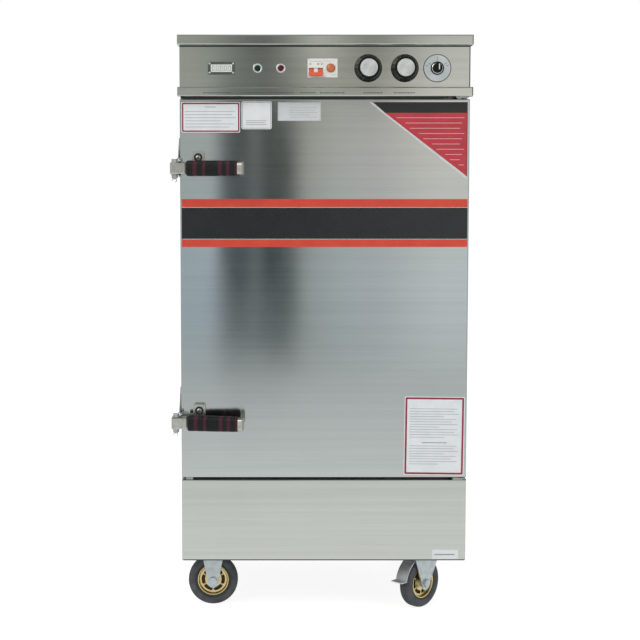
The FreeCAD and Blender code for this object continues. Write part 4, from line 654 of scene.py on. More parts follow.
def sticker(name, body, inks, box, corner, frame, gap, lines, tilt=0.0):
    bm = bmesh.new()
    addSlab(bm, inset(box, 0, corner), *filmDepth)
    if frame:
        hole = inset(box, gap + frame, max(corner - frame, 0.8))
        addFrame(bm, inset(box, gap, corner), hole, *printDepth, 1)
    for line in lines:
        ruleLines(bm, *line)
    if tilt:
        centre = Vector(((box[0] + box[1]) / 2, 0, (box[2] + box[3]) / 2))
        turn = turned(centre, tilt, "Y") @ Matrix.Translation(-centre)
        bmesh.ops.transform(bm, matrix=turn, verts=bm.verts)
    finishPiece(bm, name, body, inks)


# Each row of lines: left and right end, top, step, count, thickness and ink
lineLengths = (0.96, 0.9, 0.98, 0.7, 0.94, 0.86, 0.97, 0.6)
stickers = {
    "door_sheet_left": {
        "body": "door", "inks": ("paperWhite", "inkRed", "inkGrey"),
        "box": (-346.0, -204.5, 1187.0, 1260.0), "corner": 2.0, "frame": 3.4, "gap": 1.6,
        "lines": ((-337, -212, 1238, 7.4, 6, 1.4, 2), (-289, -262, 1249, 5, 1, 1.8, 2))},
    "door_sheet_small": {
        "body": "door", "inks": ("paperWhite", "inkSlate"),
        "box": (-201.0, -128.0, 1195.0, 1262.0), "corner": 5.0, "frame": 1.3, "gap": 1.8,
        "lines": ((-190, -139, 1216, 4.6, 3, 1.2, 1),)},
    "door_sheet_pale": {
        "body": "door", "inks": ("paperPale", "inkGrey"),
        "box": (-113.5, -9.5, 1215.0, 1260.0), "corner": 1.5, "frame": 0.8, "gap": 1.0,
        "lines": ((-84, -16, 1247, 5.6, 5, 1.1, 1),)},
    "door_sheet_corner": {
        "body": "door", "inks": ("paperWhite", "inkRed", "inkGrey"),
        "box": (196.5, 344.0, 349.0, 543.5), "corner": 3.0, "frame": 4.6, "gap": 2.0, "tilt": 0.6,
        "lines": ((209, 331, 514, 6.4, 12, 1.3, 2), (240, 304, 431, 5, 1, 2.6, 2),
                  (209, 331, 422, 6.4, 8, 1.3, 2))},
    "panel_sheet_small": {
        "body": "cabinet", "inks": ("paperWhite", "inkSlate"),
        "box": (267.5, 331.5, 139.0, 162.0), "corner": 1.0, "frame": 0.0, "gap": 0.0,
        "lines": ((273, 324.75, 151.5, 5, 1, 2.8, 1),)},
}
for name, values in stickers.items():
    sticker(name, **values)

# The band across the door: black between two orange-red edges
band = {"x": 346.4, "z": (910.5, 928.5, 1007.5, 1026.8)}
bm = bmesh.new()
low, inLow, inHigh, high = band["z"]
for z0, z1, index in ((low, inLow, 1), (inLow, inHigh, 0), (inHigh, high, 1)):
    plate(bm, -band["x"], band["x"], z0, z1, *filmDepth, index)
for z0 in (inLow + 0.5, inHigh - 1.7):
    plate(bm, -band["x"], band["x"], z0, z0 + 1.2, doorFace - film - 0.05, doorFace - film + 0.05, 2)
finishPiece(bm, "door_band", "door", ("filmBlack", "filmOrange", "paperPale"))

# The corner triangle: a black head, a red body and a pale slanting edge
corner = {"left": 106.0, "right": 344.5, "top": 1260.2, "head": 1234.3, "tip": 1074.0}
bm = bmesh.new()
left, right, top, head, tip = corner.values()
slope = (right - left) / (top - tip)
lineDepth = (doorFace - film - 0.1, doorFace - film)


def slantX(z, shift=0.0):
    return left + (top - z) * slope + shift


def slantSlab(low, high, lowShift, highShift, depth, slotIndex):
    # From the slanting edge to the right edge, between two heights
    outline = [(right, high), (slantX(high, highShift), high), (slantX(low, lowShift), low), (right, low)]
    addSlab(bm, outline, *depth, slotIndex)


addSlab(bm, [(right, top), (slantX(top), top), (right - 0.2, tip)], *filmDepth)
slantSlab(head, top, 6, 9, printDepth, 1)
addSlab(bm, [(right, head), (slantX(head, 6), head), (right, tip + 7)], *printDepth, 2)
slantSlab(top - 2, top, 8, 9, lineDepth, 4)
plate(bm, right - 1.6, right - 0.1, tip + 8, top - 0.2, *lineDepth, 4)
rules = {
    "count": 10, "step": 12.6, "drop": 11, "thick": 1.6, "start": 20, "end": 8, "stagger": 5, "least": 18,
}
for row in range(rules["count"]):
    z = head - rules["drop"] - row * rules["step"]
    x0 = slantX(z, rules["start"] + rules["stagger"] * (row % 2))
    if x0 < right - rules["least"]:
        x1 = right - rules["end"] - rules["stagger"] * (row % 3)
        plate(bm, x0, x1, z - rules["thick"], z, lineDepth[0], doorFace - film - 0.02, 3)
finishPiece(bm, "door_corner_film", "door", ("paperPale", "filmBlack", "filmRed", "inkPale", "filmMaroon"))
print("stage: door films")


# Latches

latch = {
    "pivot": (-360.0, -341.0), "angle": 9.0, "offset": 30.0, "length": 124.0,
    "levels": {"upper": 1101.0, "lower": 486.0}, "half": (14.4, 18.6), "round": 8.0, "bandScale": 0.985,
}
# Bands and ribs along the grip, as shares of its length and in millimetres
bands = ((0.13, 0.205), (0.32, 0.375), (0.63, 0.7), (0.785, 0.85), (0.955, 0.995))
ribs = {"count": 9, "start": 48, "pitch": 3.0, "wide": 1.2, "half": 9, "side": 14.3, "proud": 0.25}
swell = ((0.0, 0.90), (0.012, 0.97), (0.04, 1.0), (0.5, 0.985), (0.9, 0.955), (0.985, 0.94), (1.0, 0.86))


def gripScale(share):
    for (a, low), (b, high) in zip(swell, swell[1:]):
        if share <= b:
            return low + (high - low) * (share - a) / (b - a)
    return swell[-1][1]


def inBand(share):
    return any(low < share < high for low, high in bands)


for place, level in latch["levels"].items():
    bm = bmesh.new()
    edges = {edge for pair in bands for edge in pair}
    shares = sorted({round(index / 40, 4) for index in range(41)} | edges | {0.012, 0.04})
    rings = []
    for share in shares:
        size = gripScale(share) * (latch["bandScale"] if inBand(share) else 1.0)
        deep, tall = (part * size for part in latch["half"])
        outline = roundOutline(-deep, deep, -tall, tall, latch["round"] * size)
        along = latch["offset"] + 0.3 + share * (latch["length"] - 0.6)
        rings.append([(along, depth, height) for depth, height in outline])
    addRings(bm, rings, [int(inBand((start + end) / 2)) for start, end in zip(shares, shares[1:])])
    for rib in range(ribs["count"]):
        along = latch["offset"] + ribs["start"] + rib * ribs["pitch"]
        for y in (-ribs["side"], ribs["side"]):
            low = (along, y - ribs["proud"], -ribs["half"])
            addBlock(bm, low, (along + ribs["wide"], y + ribs["proud"], ribs["half"]), 0.2)
    turn = turned((*latch["pivot"], level), -latch["angle"], "Z")
    bmesh.ops.transform(bm, matrix=turn, verts=bm.verts)
    body = place + "_latch"
    finishPiece(bm, place + "_grip_rubber", body, ("grip_plastic", "bandRed"), body + "_grip")

# Keeper screws: a dark washer round a bright cross-head in the keeper's recess. The cross slots are painted
# shade, in the same dark as the washer.
keeper = {
    "x": -305.0, "rise": 26.0, "front": -322.0, "turns": (0.4, 0.4 + math.pi / 2),
    "washer": ((6.2, -3.4), (8.7, -3.4), (10.4, 0.02), (10.2, 0.7), (9.4, 0.9), (6.9, 0.5), (6.2, -0.4)),
    "head": ((5.9, -1.2), (5.9, 0.9), (5.2, 2.0), (3.6, 2.7), (0, 2.9)),
    "cross": ((-3.4, -3.0, -0.55), (3.4, -2.2, 0.55)),
}
bm = bmesh.new()
for level in latch["levels"].values():
    centre = (keeper["x"], keeper["front"], level + keeper["rise"])
    addLathe(bm, keeper["washer"], centre, toFront, 0, 36, True)
    addLathe(bm, keeper["head"], centre, toFront, 1, 32)
    for turn in keeper["turns"]:
        addBlock(bm, *keeper["cross"], 0.0, 2, turned(centre, math.degrees(turn), "Y"))
finishPiece(bm, "keeper_screws", "door", ("printAndShadeDark", "screwSteel", "printAndShadeDark"))

# A spring clip's curled end under each pivot bolt, and a blued cap nut beside its head
clip = {"steps": 15, "radius": 5.2, "start": 200, "turn": 19, "shift": 1.0, "drop": 28.5, "half": 3.5,
        "thick": 0.7}
capNut = {"section": ((6.2, 0.0), (6.4, 3.2), (5.4, 6.0), (3.2, 7.8), (0, 8.4)), "place": (9.2, 6.0, 16.4)}
bm = bmesh.new()
for level in latch["levels"].values():
    x, y = latch["pivot"]
    curl = []
    for step in range(clip["steps"]):
        angle = math.radians(clip["start"] - step * clip["turn"])
        height = level - clip["drop"] + clip["radius"] * math.sin(angle)
        across = x - clip["shift"] + clip["radius"] * math.cos(angle)
        curl.append(Vector((across, y + clip["shift"], height)))
    rings = []
    for step, here in enumerate(curl):
        ahead = curl[min(step + 1, clip["steps"] - 1)] - curl[max(step - 1, 0)]
        out = ahead.cross(Vector((0, 1, 0))).normalized() * clip["thick"]
        near, far = (Vector((0, side, 0)) for side in (-clip["half"], clip["half"]))
        rings.append([here + out + near, here + out + far, here - out + far, here - out + near])
    addRings(bm, rings)
    addLathe(bm, capNut["section"], Vector((x, y, level)) + Vector(capNut["place"]), (0, 0, 1), 1, 32)
finishPiece(bm, "latch_small_parts", "cabinet", ("zinc_steel", "chrome"))
print("stage: latches")


# Controls. Sections along an axis are pairs of radius and distance.

controlZ = 1341.0


def addFluted(bm, x, sections, flutes, steps):
    rings = []
    for radius, depth, out in sections:
        ring = []
        for step in range(steps):
            angle = 2 * math.pi * step / steps
            spoke = radius - depth * (0.5 - 0.5 * math.cos(flutes * angle)) ** 1.6
            ring.append((x + spoke * math.cos(angle), doorFace - out, controlZ + spoke * math.sin(angle)))
        rings.append(ring)
    addRings(bm, rings)


knobs = {"timer": (104.0, 225), "thermostat": (192.0, 200)}
knobTicks = {"count": 25, "step": 11.25, "long": (0.9, 31.4), "short": (0.4, 32.0), "end": 32.8}
knobShape = {
    "flutes": 22, "steps": 132,
    "sections": ((30.0, 0, 0.4), (32.9, 0, 0.5), (33.3, 0, 1.2), (33.3, 0, 3.6), (32.9, 0, 4.3),
                 (32.2, 0, 4.6), (32.0, 0.6, 6.0), (30.2, 1.2, 13.0), (28.2, 1.2, 22.0), (26.7, 1.0, 29.5),
                 (25.9, 0.6, 31.9), (25.0, 0.3, 32.8), (22.6, 0, 33.0), (21.9, 0, 32.6), (21.7, 0, 31.4),
                 (10.0, 0, 31.2)),
    "cap": ((20.3, -31.0), (20.9, -31.3), (20.9, -33.9), (20.2, -34.5), (19.3, -34.35), (18.5, -34.15),
            (12.9, -34.2), (0, -34.25)),
}
for name, (x, start) in knobs.items():
    centre = (x, doorFace, controlZ)
    bm = bmesh.new()
    addFluted(bm, x, knobShape["sections"], knobShape["flutes"], knobShape["steps"])
    for tick in range(knobTicks["count"]):
        wide, near = knobTicks["short" if tick % 4 else "long"]
        spin = turned(centre, tick * knobTicks["step"] - start, "Y")
        addBlock(bm, (near, -4.7, -wide / 2), (knobTicks["end"], -4.3, wide / 2), 0.0, 1, spin)
    body, inks = name + "_dial", ("black_plastic", "markGrey")
    finishPiece(bm, name + "_knob_moulding", body, inks, name + "_knob")
    bm = bmesh.new()
    addLathe(bm, knobShape["cap"], centre, (0, 1, 0), 0, 64)
    face = (x, doorFace - 34, controlZ)
    finishes["spunCap"] = spunMetal("spun_aluminium_" + name, "#f6f7f5", "#c2c5c4", face, 0.82)
    finishPiece(bm, name + "_cap_disc", body, ("spunCap",), name + "_knob_cap")

# Rotary switch: a printed plate, a bright ring and a black knob with a white stripe towards the right of its
# grip
switch = {
    "x": 270.0, "marks": {"1": -60, "0": 0, "2": 60}, "numberReach": 25.6, "numberHeight": 5.2, "bars": 24.5,
    "plate": ((6.2, 0.05), (33.6, 0.05), (33.65, 1.2), (33.2, 1.7), (6.2, 1.75)),
    "ring": ((31.9, 1.65), (33.5, 1.65), (33.5, 1.82), (31.9, 1.82)),
    "collar": ((9.0, 2.4), (15.9, 2.4), (16.0, 4.2), (15.3, 5.0), (9.0, 5.0)),
    "trim": ((9.0, 4.9), (13.3, 4.9), (13.2, 5.6), (12.5, 6.0), (9.0, 6.0)),
    "boss": ((8.0, 3.0), (11.9, 5.8), (11.6, 12.4), (10.2, 13.4), (0, 13.7)),
    "tick": ((-0.6, -1.85, 18.6), (0.6, -1.65, 22.4)), "grip": (-5.6, 5.6, -11.6, 12.6), "gripRound": 5.0,
    "pointer": (1.9, 4.3, -4.0, 9.6),
}
sx = switch["x"]
centre = (sx, doorFace, controlZ)
markDepth = (doorFace - 1.85, doorFace - 1.65)
bm = bmesh.new()
addLathe(bm, switch["plate"], centre, toFront, 0, 72, True)
addLathe(bm, switch["ring"], centre, toFront, 1, 72, True)
for angle in switch["marks"].values():
    addBlock(bm, *switch["tick"], 0.0, 1, turned(centre, angle, "Y"))
for x in (sx - switch["bars"], sx + switch["bars"]):
    plate(bm, x - 3.6, x + 3.6, controlZ + 5.2, controlZ + 6.2, *markDepth, 1)
finishes["spunPlate"] = spunMetal("spun_plate_switch", "#dfe4e6", "#c3cacc", centre, 0.75)
inks = ("spunPlate", "printAndShadeDark")
finishPiece(bm, "switch_plate_printed", "cabinet", inks, "switch_plate")


def addNumber(bm, text, x, z, height, y):
    # A plain number, from Blender's own font
    curve = bpy.data.curves.new("number" + text, "FONT")
    curve.body, curve.size, curve.extrude = text, height, 0.06
    curve.align_x, curve.align_y = "CENTER", "CENTER"
    made = bpy.data.objects.new("number" + text, curve)
    mesh = bpy.data.meshes.new_from_object(made)
    mesh.transform(turned((x, y, z), 90, "X"))
    bm.from_mesh(mesh)
    bpy.data.objects.remove(made)
    bpy.data.meshes.remove(mesh)


bm = bmesh.new()
for text, angle in switch["marks"].items():
    x = sx + switch["numberReach"] * math.sin(math.radians(angle))
    z = controlZ + switch["numberReach"] * math.cos(math.radians(angle))
    addNumber(bm, text, x, z, switch["numberHeight"], doorFace - 1.8)
finishPiece(bm, "switch_numbers", "cabinet", ("printAndShadeDark",))

bm = bmesh.new()
addLathe(bm, switch["collar"], centre, toFront, 0, 56, True)
addLathe(bm, switch["trim"], centre, toFront, 1, 56, True)
addLathe(bm, switch["boss"], centre, toFront, 0, 56)
grip = roundOutline(*boxAt(sx, controlZ, switch["grip"]), switch["gripRound"], 6)
addSlab(bm, grip, doorFace - 21.8, doorFace - 12.0, 0, 1.2)
plate(bm, *boxAt(sx, controlZ, switch["pointer"]), doorFace - 22.0, doorFace - 21.5, 2, 0.3)
inks = ("black_plastic", "chrome", "markWhite")
finishPiece(bm, "switch_knob_moulding", "selector", inks, "switch_knob")

# Pilot lamps: a bright bezel round a dark domed lens with a ring of facets
pilots = {"green": -162.0, "red": -106.0}
pilotShape = (
    ((6.7, 0.05), (11.3, 0.05), (11.5, 0.9), (11.1, 2.0), (10.2, 2.9), (8.7, 3.2), (7.4, 2.7), (6.7, 1.9)),
    ((6.65, 1.0), (6.65, 3.4), (6.3, 4.6), (5.4, 6.1), (3.9, 7.3), (2.1, 8.1), (0, 8.35)),
    ((0, -29.5), (7.7, -29.5), (7.7, 0.3), (0, 0.3)),
)
for colour, x in pilots.items():
    bm = bmesh.new()
    for index, (outline, steps) in enumerate(zip(pilotShape, (48, 24, 32))):
        addLathe(bm, outline, (x, doorFace, controlZ), toFront, index, steps, index == 0)
    name, lens = colour + "_lamp", "lens_" + colour
    finishPiece(bm, name + "_lens", "cabinet", ("bezel", lens, "meter_plastic"), name, 24)

# Panel meter: an hour counter with plain zeros behind glass, in a dark frame held by four screws
meter = {
    "x": -249.0, "half": (32.5, 15.0), "window": (26.5, 10.0), "drums": 5, "body": 38,
    "screw": ((2.7, -0.3), (2.7, 0.5), (2.1, 1.1), (0, 1.3)),
}
bm = bmesh.new()
(half, high), (wx, wz), mx = meter["half"], meter["window"], meter["x"]
frameBox = boxAt(mx, controlZ, (-half, half, -high, high))
windowBox = boxAt(mx, controlZ, (-wx, wx, -wz, wz))
outer, soft = inset(frameBox, 0, 2.2), inset(frameBox, 0.9, 1.6)
hole, deep = inset(windowBox, 0, 1.2), inset(windowBox, 0.9, 0.8)
levels = ((outer, 0), (outer, 3.1), (soft, 4.0), (hole, 4.0), (deep, 2.2), (deep, 0))
addRings(bm, [atDepth(outline, doorFace - out) for outline, out in levels], 0, True)
addSlab(bm, deep, doorFace - 1.6, doorFace, 1)
x0, x1, z0, z1 = frameBox
plate(bm, x0 + 3, x1 - 3, z0 + 3, z1 - 3, doorFace, doorFace + meter["body"], 0, 0.8)
pitch = (2 * wx - 4) / meter["drums"]
for drum in range(meter["drums"]):
    x = mx - wx + 2 + drum * pitch
    figure = (x + 1.9, x + pitch - 1.9, controlZ - 6.6, controlZ + 6.6)
    addFrame(bm, inset(figure, 0, 2.4), inset(figure, 1.6, 1.1), doorFace - 1.75, doorFace - 1.55, 4)
    if drum:
        joint = boxAt(x, controlZ, (-0.3, 0.3, 1.2 - wz, wz - 1.2))
        plate(bm, *joint, doorFace - 1.8, doorFace - 1.5, 4)
for side in (-1, 1):
    for level in (-1, 1):
        spot = (mx + side * (half - 4.2), doorFace - 4.0, controlZ + level * (high - 4.0))
        addLathe(bm, meter["screw"], spot, toFront, 3, 20)
        # Painted shade: each screw head gets a dark bar where its slot lies in shadow
        spin = turned(spot, math.degrees(0.7 * side + level), "Y")
        addBlock(bm, (-1.5, -1.42, -0.2), (1.5, -0.9, 0.2), 0.0, 2, spin)
inks = ("meter_plastic", "glassPale", "printAndShadeDark", "bezel", "inkSlate")
finishPiece(bm, "meter_counter", "cabinet", inks, "panel_meter")

# Breaker: fine joints and marks on the white front, two linked orange paddles and the amber button
breaker = {
    "x": -6.0, "half": (36.0, 22.5), "front": -311.0, "button": 14.0,
    "pivot": (-22.0, -306.0, 1333.0), "rest": 32.0,
    "collar": ((10.6, -0.2), (12.6, -0.2), (12.6, 0.5), (12.0, 0.9), (11.2, 0.9), (10.6, 0.4)),
    "hump": ((0, 0), (4.0, 0), (6.2, 0.9), (7.6, 2.9), (7.9, 5.0), (7.9, 7.4), (7.6, 9.5), (6.2, 11.5),
             (4.0, 12.4), (0, 12.4)),
    "axle": ((0, -16.2), (5.2, -16.2), (5.2, -5.4), (8.1, -4.6), (8.1, 4.6), (5.2, 5.4), (5.2, 16.2),
             (0, 16.2)),
    "dome": ((0, -8.8), (9.9, -8.8), (9.9, 1.6), (9.5, 3.0), (8.2, 4.3), (5.6, 5.1), (2.6, 5.4), (0, 5.45)),
}
half, high = breaker["half"]
front, x0, x1 = breaker["front"], breaker["x"] - half, breaker["x"] + half
bm = bmesh.new()
plate(bm, x0 + 38.4, x0 + 38.9, controlZ - high + 0.4, controlZ + high - 0.4, front - 0.12, front + 0.2)
for x, wide in ((5.0, 3.4), (23.4, 4.4), (32.6, 3.0)):
    plate(bm, x0 + x, x0 + x + wide, controlZ + 7.6, controlZ + 11.4, front - 0.1, front + 0.1, 2)
for start, end, rise in ((4.0, 36.0, 15.6), (42.0, 66.0, 16.4), (56.0, 68.0, -17.0)):
    z = controlZ + rise
    plate(bm, x0 + start, x0 + end, z, z + 0.9, front - 0.1, front + 0.1)
for z in (controlZ - high + 0.3, controlZ + high - 0.3):
    plate(bm, x0 - 0.6, x1 + 0.6, z - 0.5, z + 0.5, front - 0.5, front + 3.0, 1, 0.25)
buttonSpot = (breaker["button"], front, controlZ)
addLathe(bm, breaker["collar"], buttonSpot, toFront, 1, 48, True)
finishPiece(bm, "breaker_marks", "cabinet", ("inkGrey", "white_plastic", "inkSlate"))

# The toggle: two round humps on a white axle, and a bar that links their paddles
px, py, pz = breaker["pivot"]
bm = bmesh.new()
for x in (px - 16.4, px + 4.0):
    addLathe(bm, breaker["hump"], (x, py, pz), (1, 0, 0), 0, 40)
addLathe(bm, breaker["axle"], (px, py, pz), (1, 0, 0), 1, 32)
bar = []
for x, cut in ((-16.4, 0.8), (-15.6, 0.0), (15.6, 0.0), (16.4, 0.8)):
    profile = ((-10.4, cut - 3.8), (cut - 15.6, cut - 3.4), (cut - 18.4, -1.6), (cut - 18.9, 0),
               (cut - 18.4, 1.6), (cut - 15.6, 3.4 - cut), (-10.4, 3.8 - cut))
    bar.append([(px + x, py + y, pz + z) for y, z in profile])
addRings(bm, bar)
for x in (px - 15.8, px + 4.6):
    plate(bm, x, x + 11.2, pz - 3.6, pz + 3.6, py - 12.0, py - 1.0, 0, 0.6)
plate(bm, px - 4.6, px + 4.6, pz - 3.2, pz + 3.2, py - 11.0, py - 1.0, 1, 0.3)
tilt = turned((px, py, pz), breaker["rest"], "X") @ Matrix.Translation((-px, -py, -pz))
bmesh.ops.transform(bm, matrix=tilt, verts=bm.verts)
inks = ("orange_plastic", "white_plastic")
finishPiece(bm, "breaker_paddles", "breaker_handle", inks, "breaker_toggle")

bm = bmesh.new()
addLathe(bm, breaker["dome"], buttonSpot, toFront)
dome = "amber_plastic"
finishPiece(bm, "breaker_button_dome", "test_button", (dome,), "breaker_test_button")

# Broken lines of short dashes on the ledge where captions would be
ledge = {
    "front": -330.0, "z": 1281.0, "dashes": (4.2, 2.8, 5.4), "gap": 2.6,
    "rows": ((-291, -224), (-197, -144), (-134, -77), (-60, -24), (-12, 46), (92, 140), (164, 217)),
}
ledgeFront, z = ledge["front"], ledge["z"]
bm = bmesh.new()
for x, end in ledge["rows"]:
    step = 0
    while x < end - 2:
        wide = ledge["dashes"][step % 3]
        plate(bm, x, min(x + wide, end), z - 1.3, z + 1.3, ledgeFront - 0.08, ledgeFront + 0.1)
        x, step = x + wide + ledge["gap"], step + 1
finishPiece(bm, "ledge_marks", "cabinet", ("inkDark",))

# Painted shade: dark strips where shadow lines fall under the cover's lip, at the fascia's right edge, at the
# right ends of ledge and lip and in the gap under the ledge, and a dark line at the lower panel's foot
shadeLines = (
    (-349.6, 349.6, 1391.6, 1394.7, doorFace - 0.35, doorFace + 0.1, 0.15),
    (347.4, 349.6, 1295.4, 1391.6, doorFace - 0.3, doorFace + 0.1, 0.1),
    (351.6, 353.4, 1274.4, 1293.8, ledgeFront - 0.1, ledgeFront + 0.1, 0.0),
    (351.6, 353.4, 1396.2, 1417.8, ledgeFront - 0.1, ledgeFront + 0.1, 0.0),
    (-348.0, 298.0, 1268.4, 1273.1, -303.0, -296.0, 0.4),
    (-347.0, 347.0, 135.4, 138.0, doorFace - 0.3, doorFace + 0.1, 0.1),
)
bm = bmesh.new()
for *box, bevel in shadeLines:
    plate(bm, *box, 0, bevel)
finishPiece(bm, "edge_seams", "cabinet", ("shadeLineDark",))
print("stage: controls")


# Casters

wheel = {"slots": 6, "slotRadius": 25.2, "slotHalf": 4.3, "slotSpan": 19.0, "web": 4.2, "darkBelow": 46}
# Half of the tyre's section: bead, rounded wall and two tread grooves
halfTyre = (
    (39.7, -11.0), (40.4, -12.6), (42.5, -13.5), (44.0, -13.1), (46.0, -14.4), (50.0, -15.4), (54.0, -15.8),
    (57.6, -14.9), (60.2, -12.8), (61.8, -9.9), (62.2, -7.2), (62.2, -6.2), (61.2, -5.9), (61.2, -5.1),
    (62.3, -4.8), (62.4, -0.9), (61.4, -0.6),
)
tyreSection = halfTyre + tuple((radius, -along) for radius, along in reversed(halfTyre))
# Sections of the rim, for one side: rolled lip, hub and rivet; and the drum and dark disc between
wheelLip = (
    (31.5, 3.2), (33.2, 3.6), (34.6, 6.4), (35.6, 10.6), (36.8, 12.0), (38.9, 12.3), (39.5, 11.6),
    (39.5, 9.8), (38.2, 9.2), (37.2, 8.0), (36.4, 4.6), (35.0, 2.2), (31.5, 1.9),
)
wheelHub = ((11.7, 2.0), (11.9, 17.0), (11.2, 17.8), (7.4, 17.9), (6.6, 17.4), (6.6, 2.0))
rivetHead = ((2.6, -0.4), (2.5, 0.7), (1.7, 1.4), (0, 1.6))
wheelDrum = ((36.6, -9.0), (39.4, -9.0), (39.4, 9.0), (36.6, 9.0))
wheelDisc = ((11.6, -1.2), (36.9, -1.2), (36.9, 1.2), (11.6, 1.2))


def onCircle(radius, degrees, centre=(0, 0)):
    angle = math.radians(degrees)
    return centre[0] + radius * math.cos(angle), centre[1] + radius * math.sin(angle)


def slotLoop(middle):
    # A kidney slot: the outer arc, one round end, the inner arc and the other end
    radius, half, reach = wheel["slotRadius"], wheel["slotHalf"], wheel["slotSpan"]
    arc = [middle - reach + 2 * reach * step / 8 for step in range(9)]
    points = [onCircle(radius + half, angle) for angle in arc]
    for base, first in ((middle + reach, 0), (middle - reach, 180)):
        centre = onCircle(radius, base)
        points += [onCircle(half, base + first + step * 30, centre) for step in range(1, 6)]
        if not first:
            points += [onCircle(radius - half, angle) for angle in reversed(arc)]
    return points


def rimPlate():
    # The pressed web, with six kidney slots, from a filled flat curve
    curve = bpy.data.curves.new("rimWeb", "CURVE")
    curve.dimensions, curve.fill_mode = "2D", "BOTH"
    curve.extrude, curve.bevel_depth, curve.bevel_resolution, curve.offset = 0.55, 0.35, 2, -0.35
    edges = ((34.0, 72), (11.5, 40))
    loops = [[onCircle(radius, 360 * step / steps) for step in range(steps)] for radius, steps in edges]
    loops += [slotLoop(360 / wheel["slots"] * slot) for slot in range(wheel["slots"])]
    for points in loops:
        spline = curve.splines.new("POLY")
        spline.points.add(len(points) - 1)
        for point, (x, y) in zip(spline.points, points):
            point.co = (x, y, 0, 1)
        spline.use_cyclic_u = True
    made = bpy.data.objects.new("rimWeb", curve)
    mesh = bpy.data.meshes.new_from_object(made)
    bpy.data.objects.remove(made)
    return mesh


webMesh = rimPlate()
heading = math.radians(225)
axles = {"left": (0, 1, 0), "right": (-math.sin(heading), math.cos(heading), 0)}
for place in ("left_front", "left_rear", "right_front", "right_rear"):
    low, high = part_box(place + "_tyre")
    centre, axis = (low + high) * 500, axles[place.split("_")[0]]
    body = place + "_wheel"
    bm = bmesh.new()
    slots = [int(radius < wheel["darkBelow"]) for radius, along in tyreSection]
    addLathe(bm, tyreSection, centre, axis, slots, 96, True)
    inks = ("tyre_rubber", "tyreDark")
    finishPiece(bm, place + "_tyre_tread", body, inks, place + "_tyre", 40)
    bm = bmesh.new()
    aim = Vector(axis).to_track_quat("Z", "Y").to_matrix().to_4x4()
    for side in (-1, 1):
        before = set(bm.faces)
        bm.from_mesh(webMesh)
        out = Matrix.Translation((0, 0, side * wheel["web"]))
        span(bm, before, 0, Matrix.Translation(centre) @ aim @ out)
        addLathe(bm, [(radius, side * along) for radius, along in wheelLip], centre, axis, 0, 72, True)
        addLathe(bm, [(radius, side * along) for radius, along in wheelHub], centre, axis, 2, 40, True)
        for rivet in range(wheel["slots"]):
            x, y = onCircle(wheel["slotRadius"], 60 * (rivet + 0.5))
            spot = centre + aim.to_3x3() @ Vector((x, y, side * 5.0))
            addLathe(bm, rivetHead, spot, aim.to_3x3() @ Vector((0, 0, side)), 2, 16)
    for section in (wheelDrum, wheelDisc):
        addLathe(bm, section, centre, axis, 1, 72, True)
    inks = ("rim_gold", "slotDark", "zinc_steel")
    finishPiece(bm, place + "_rim_pressing", body, inks, place + "_rim", 36)
print("stage: casters")


# Trays with drawn corners and a rolled rim. The section's places are the distance in from the
# tray's edge, the height over its foot and the corner radius there.

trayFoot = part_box("rice_trays")[0].z * 1000
tray = {"centreY": 5.25, "count": 8, "pitch": 104, "half": (300.0, 200.0)}
traySection = (
    (27.5, 1.6, 22.0), (26.2, 0.5, 23.0), (25.3, 0.1, 24.0), (24.9, 0.9, 25.0), (24.3, 4.0, 26.0),
    (18.4, 46.2, 30.0), (16.4, 46.9, 31.0), (2.2, 46.9, 36.0), (0.8, 45.6, 37.0), (0.1, 46.4, 38.0),
    (0.5, 47.6, 37.6), (2.4, 48.0, 36.0), (17.0, 48.0, 30.5), (19.6, 47.2, 29.0), (25.6, 4.4, 24.6),
    (26.6, 2.4, 23.6), (30.0, 1.35, 21.0),
)
bm = bmesh.new()
for level in range(tray["count"]):
    rings = []
    for edge, rise, radius in traySection:
        halfX, halfY = (half - edge for half in tray["half"])
        outline = roundOutline(-halfX, halfX, -halfY, halfY, radius, 8)
        z = trayFoot + tray["pitch"] * level + rise
        rings.append([(x, tray["centreY"] + y, z) for x, y in outline])
    addRings(bm, rings)
finishPiece(bm, "rice_tray_pressings", "cabinet", ("tray_aluminium",), "rice_trays", 30)
print("stage: trays")


# Back and sides: louvre hoods, weld beads and fasteners

back = {"y": 305.0, "x": (-230, -140, -50, 40), "z": (1331, 1351), "half": 35.0}
# How far a hood stands out at each share of its half width
hoodSwell = ((-1.0, 0.12), (-0.94, 0.62), (-0.8, 1.0), (0.8, 1.0), (0.94, 0.62), (1.0, 0.12))
bm = bmesh.new()
for x, z in ((x, z) for x in back["x"] for z in back["z"]):
    rings = []
    for share, full in hoodSwell:
        ring = []
        for step in range(7):
            angle = math.pi / 2 * step / 6
            out = 0.2 + 6.0 * full * math.cos(angle) ** 0.8
            ring.append((x + share * back["half"], back["y"] + out, z - 4.0 + 9.5 * full * math.sin(angle)))
        ring += [(a, max(b - 1.0, back["y"] + 0.05), c - 0.4) for a, b, c in reversed(ring)]
        rings.append(ring)
    addRings(bm, rings)
finishPiece(bm, "louvre_hoods", "cabinet", ("casing_steel",))

# Where the steam pipe and the drain leave the sheet: centre, radius and axis
beads = (((0.0, 308.6, 1178.0), 16.4, (0, 1, 0)), ((0.0, 161.0, 247.6), 17.6, (0, 0, 1)))
bm = bmesh.new()
for centre, radius, axis in beads:
    turns = [2 * math.pi * step / 8 for step in range(8)]
    ring = [(radius + 1.5 * math.cos(angle), 1.2 * math.sin(angle)) for angle in turns]
    addLathe(bm, ring, centre, axis, 0, 64, True)
finishPiece(bm, "weld_beads", "cabinet", ("weld",))


def screwHead(name, outline, steps=24):
    bm = bmesh.new()
    addLathe(bm, outline, (0, 0, 0), (0, 0, 1), 0, steps)
    if name == "panHead":
        for angle in (0, 90):
            addBlock(bm, (-2.0, -0.4, 1.75), (2.0, 0.4, 2.41), 0.0, 1, turned((0, 0, 0), angle, "Z"))
    return shown(name, asMesh(bm, name))


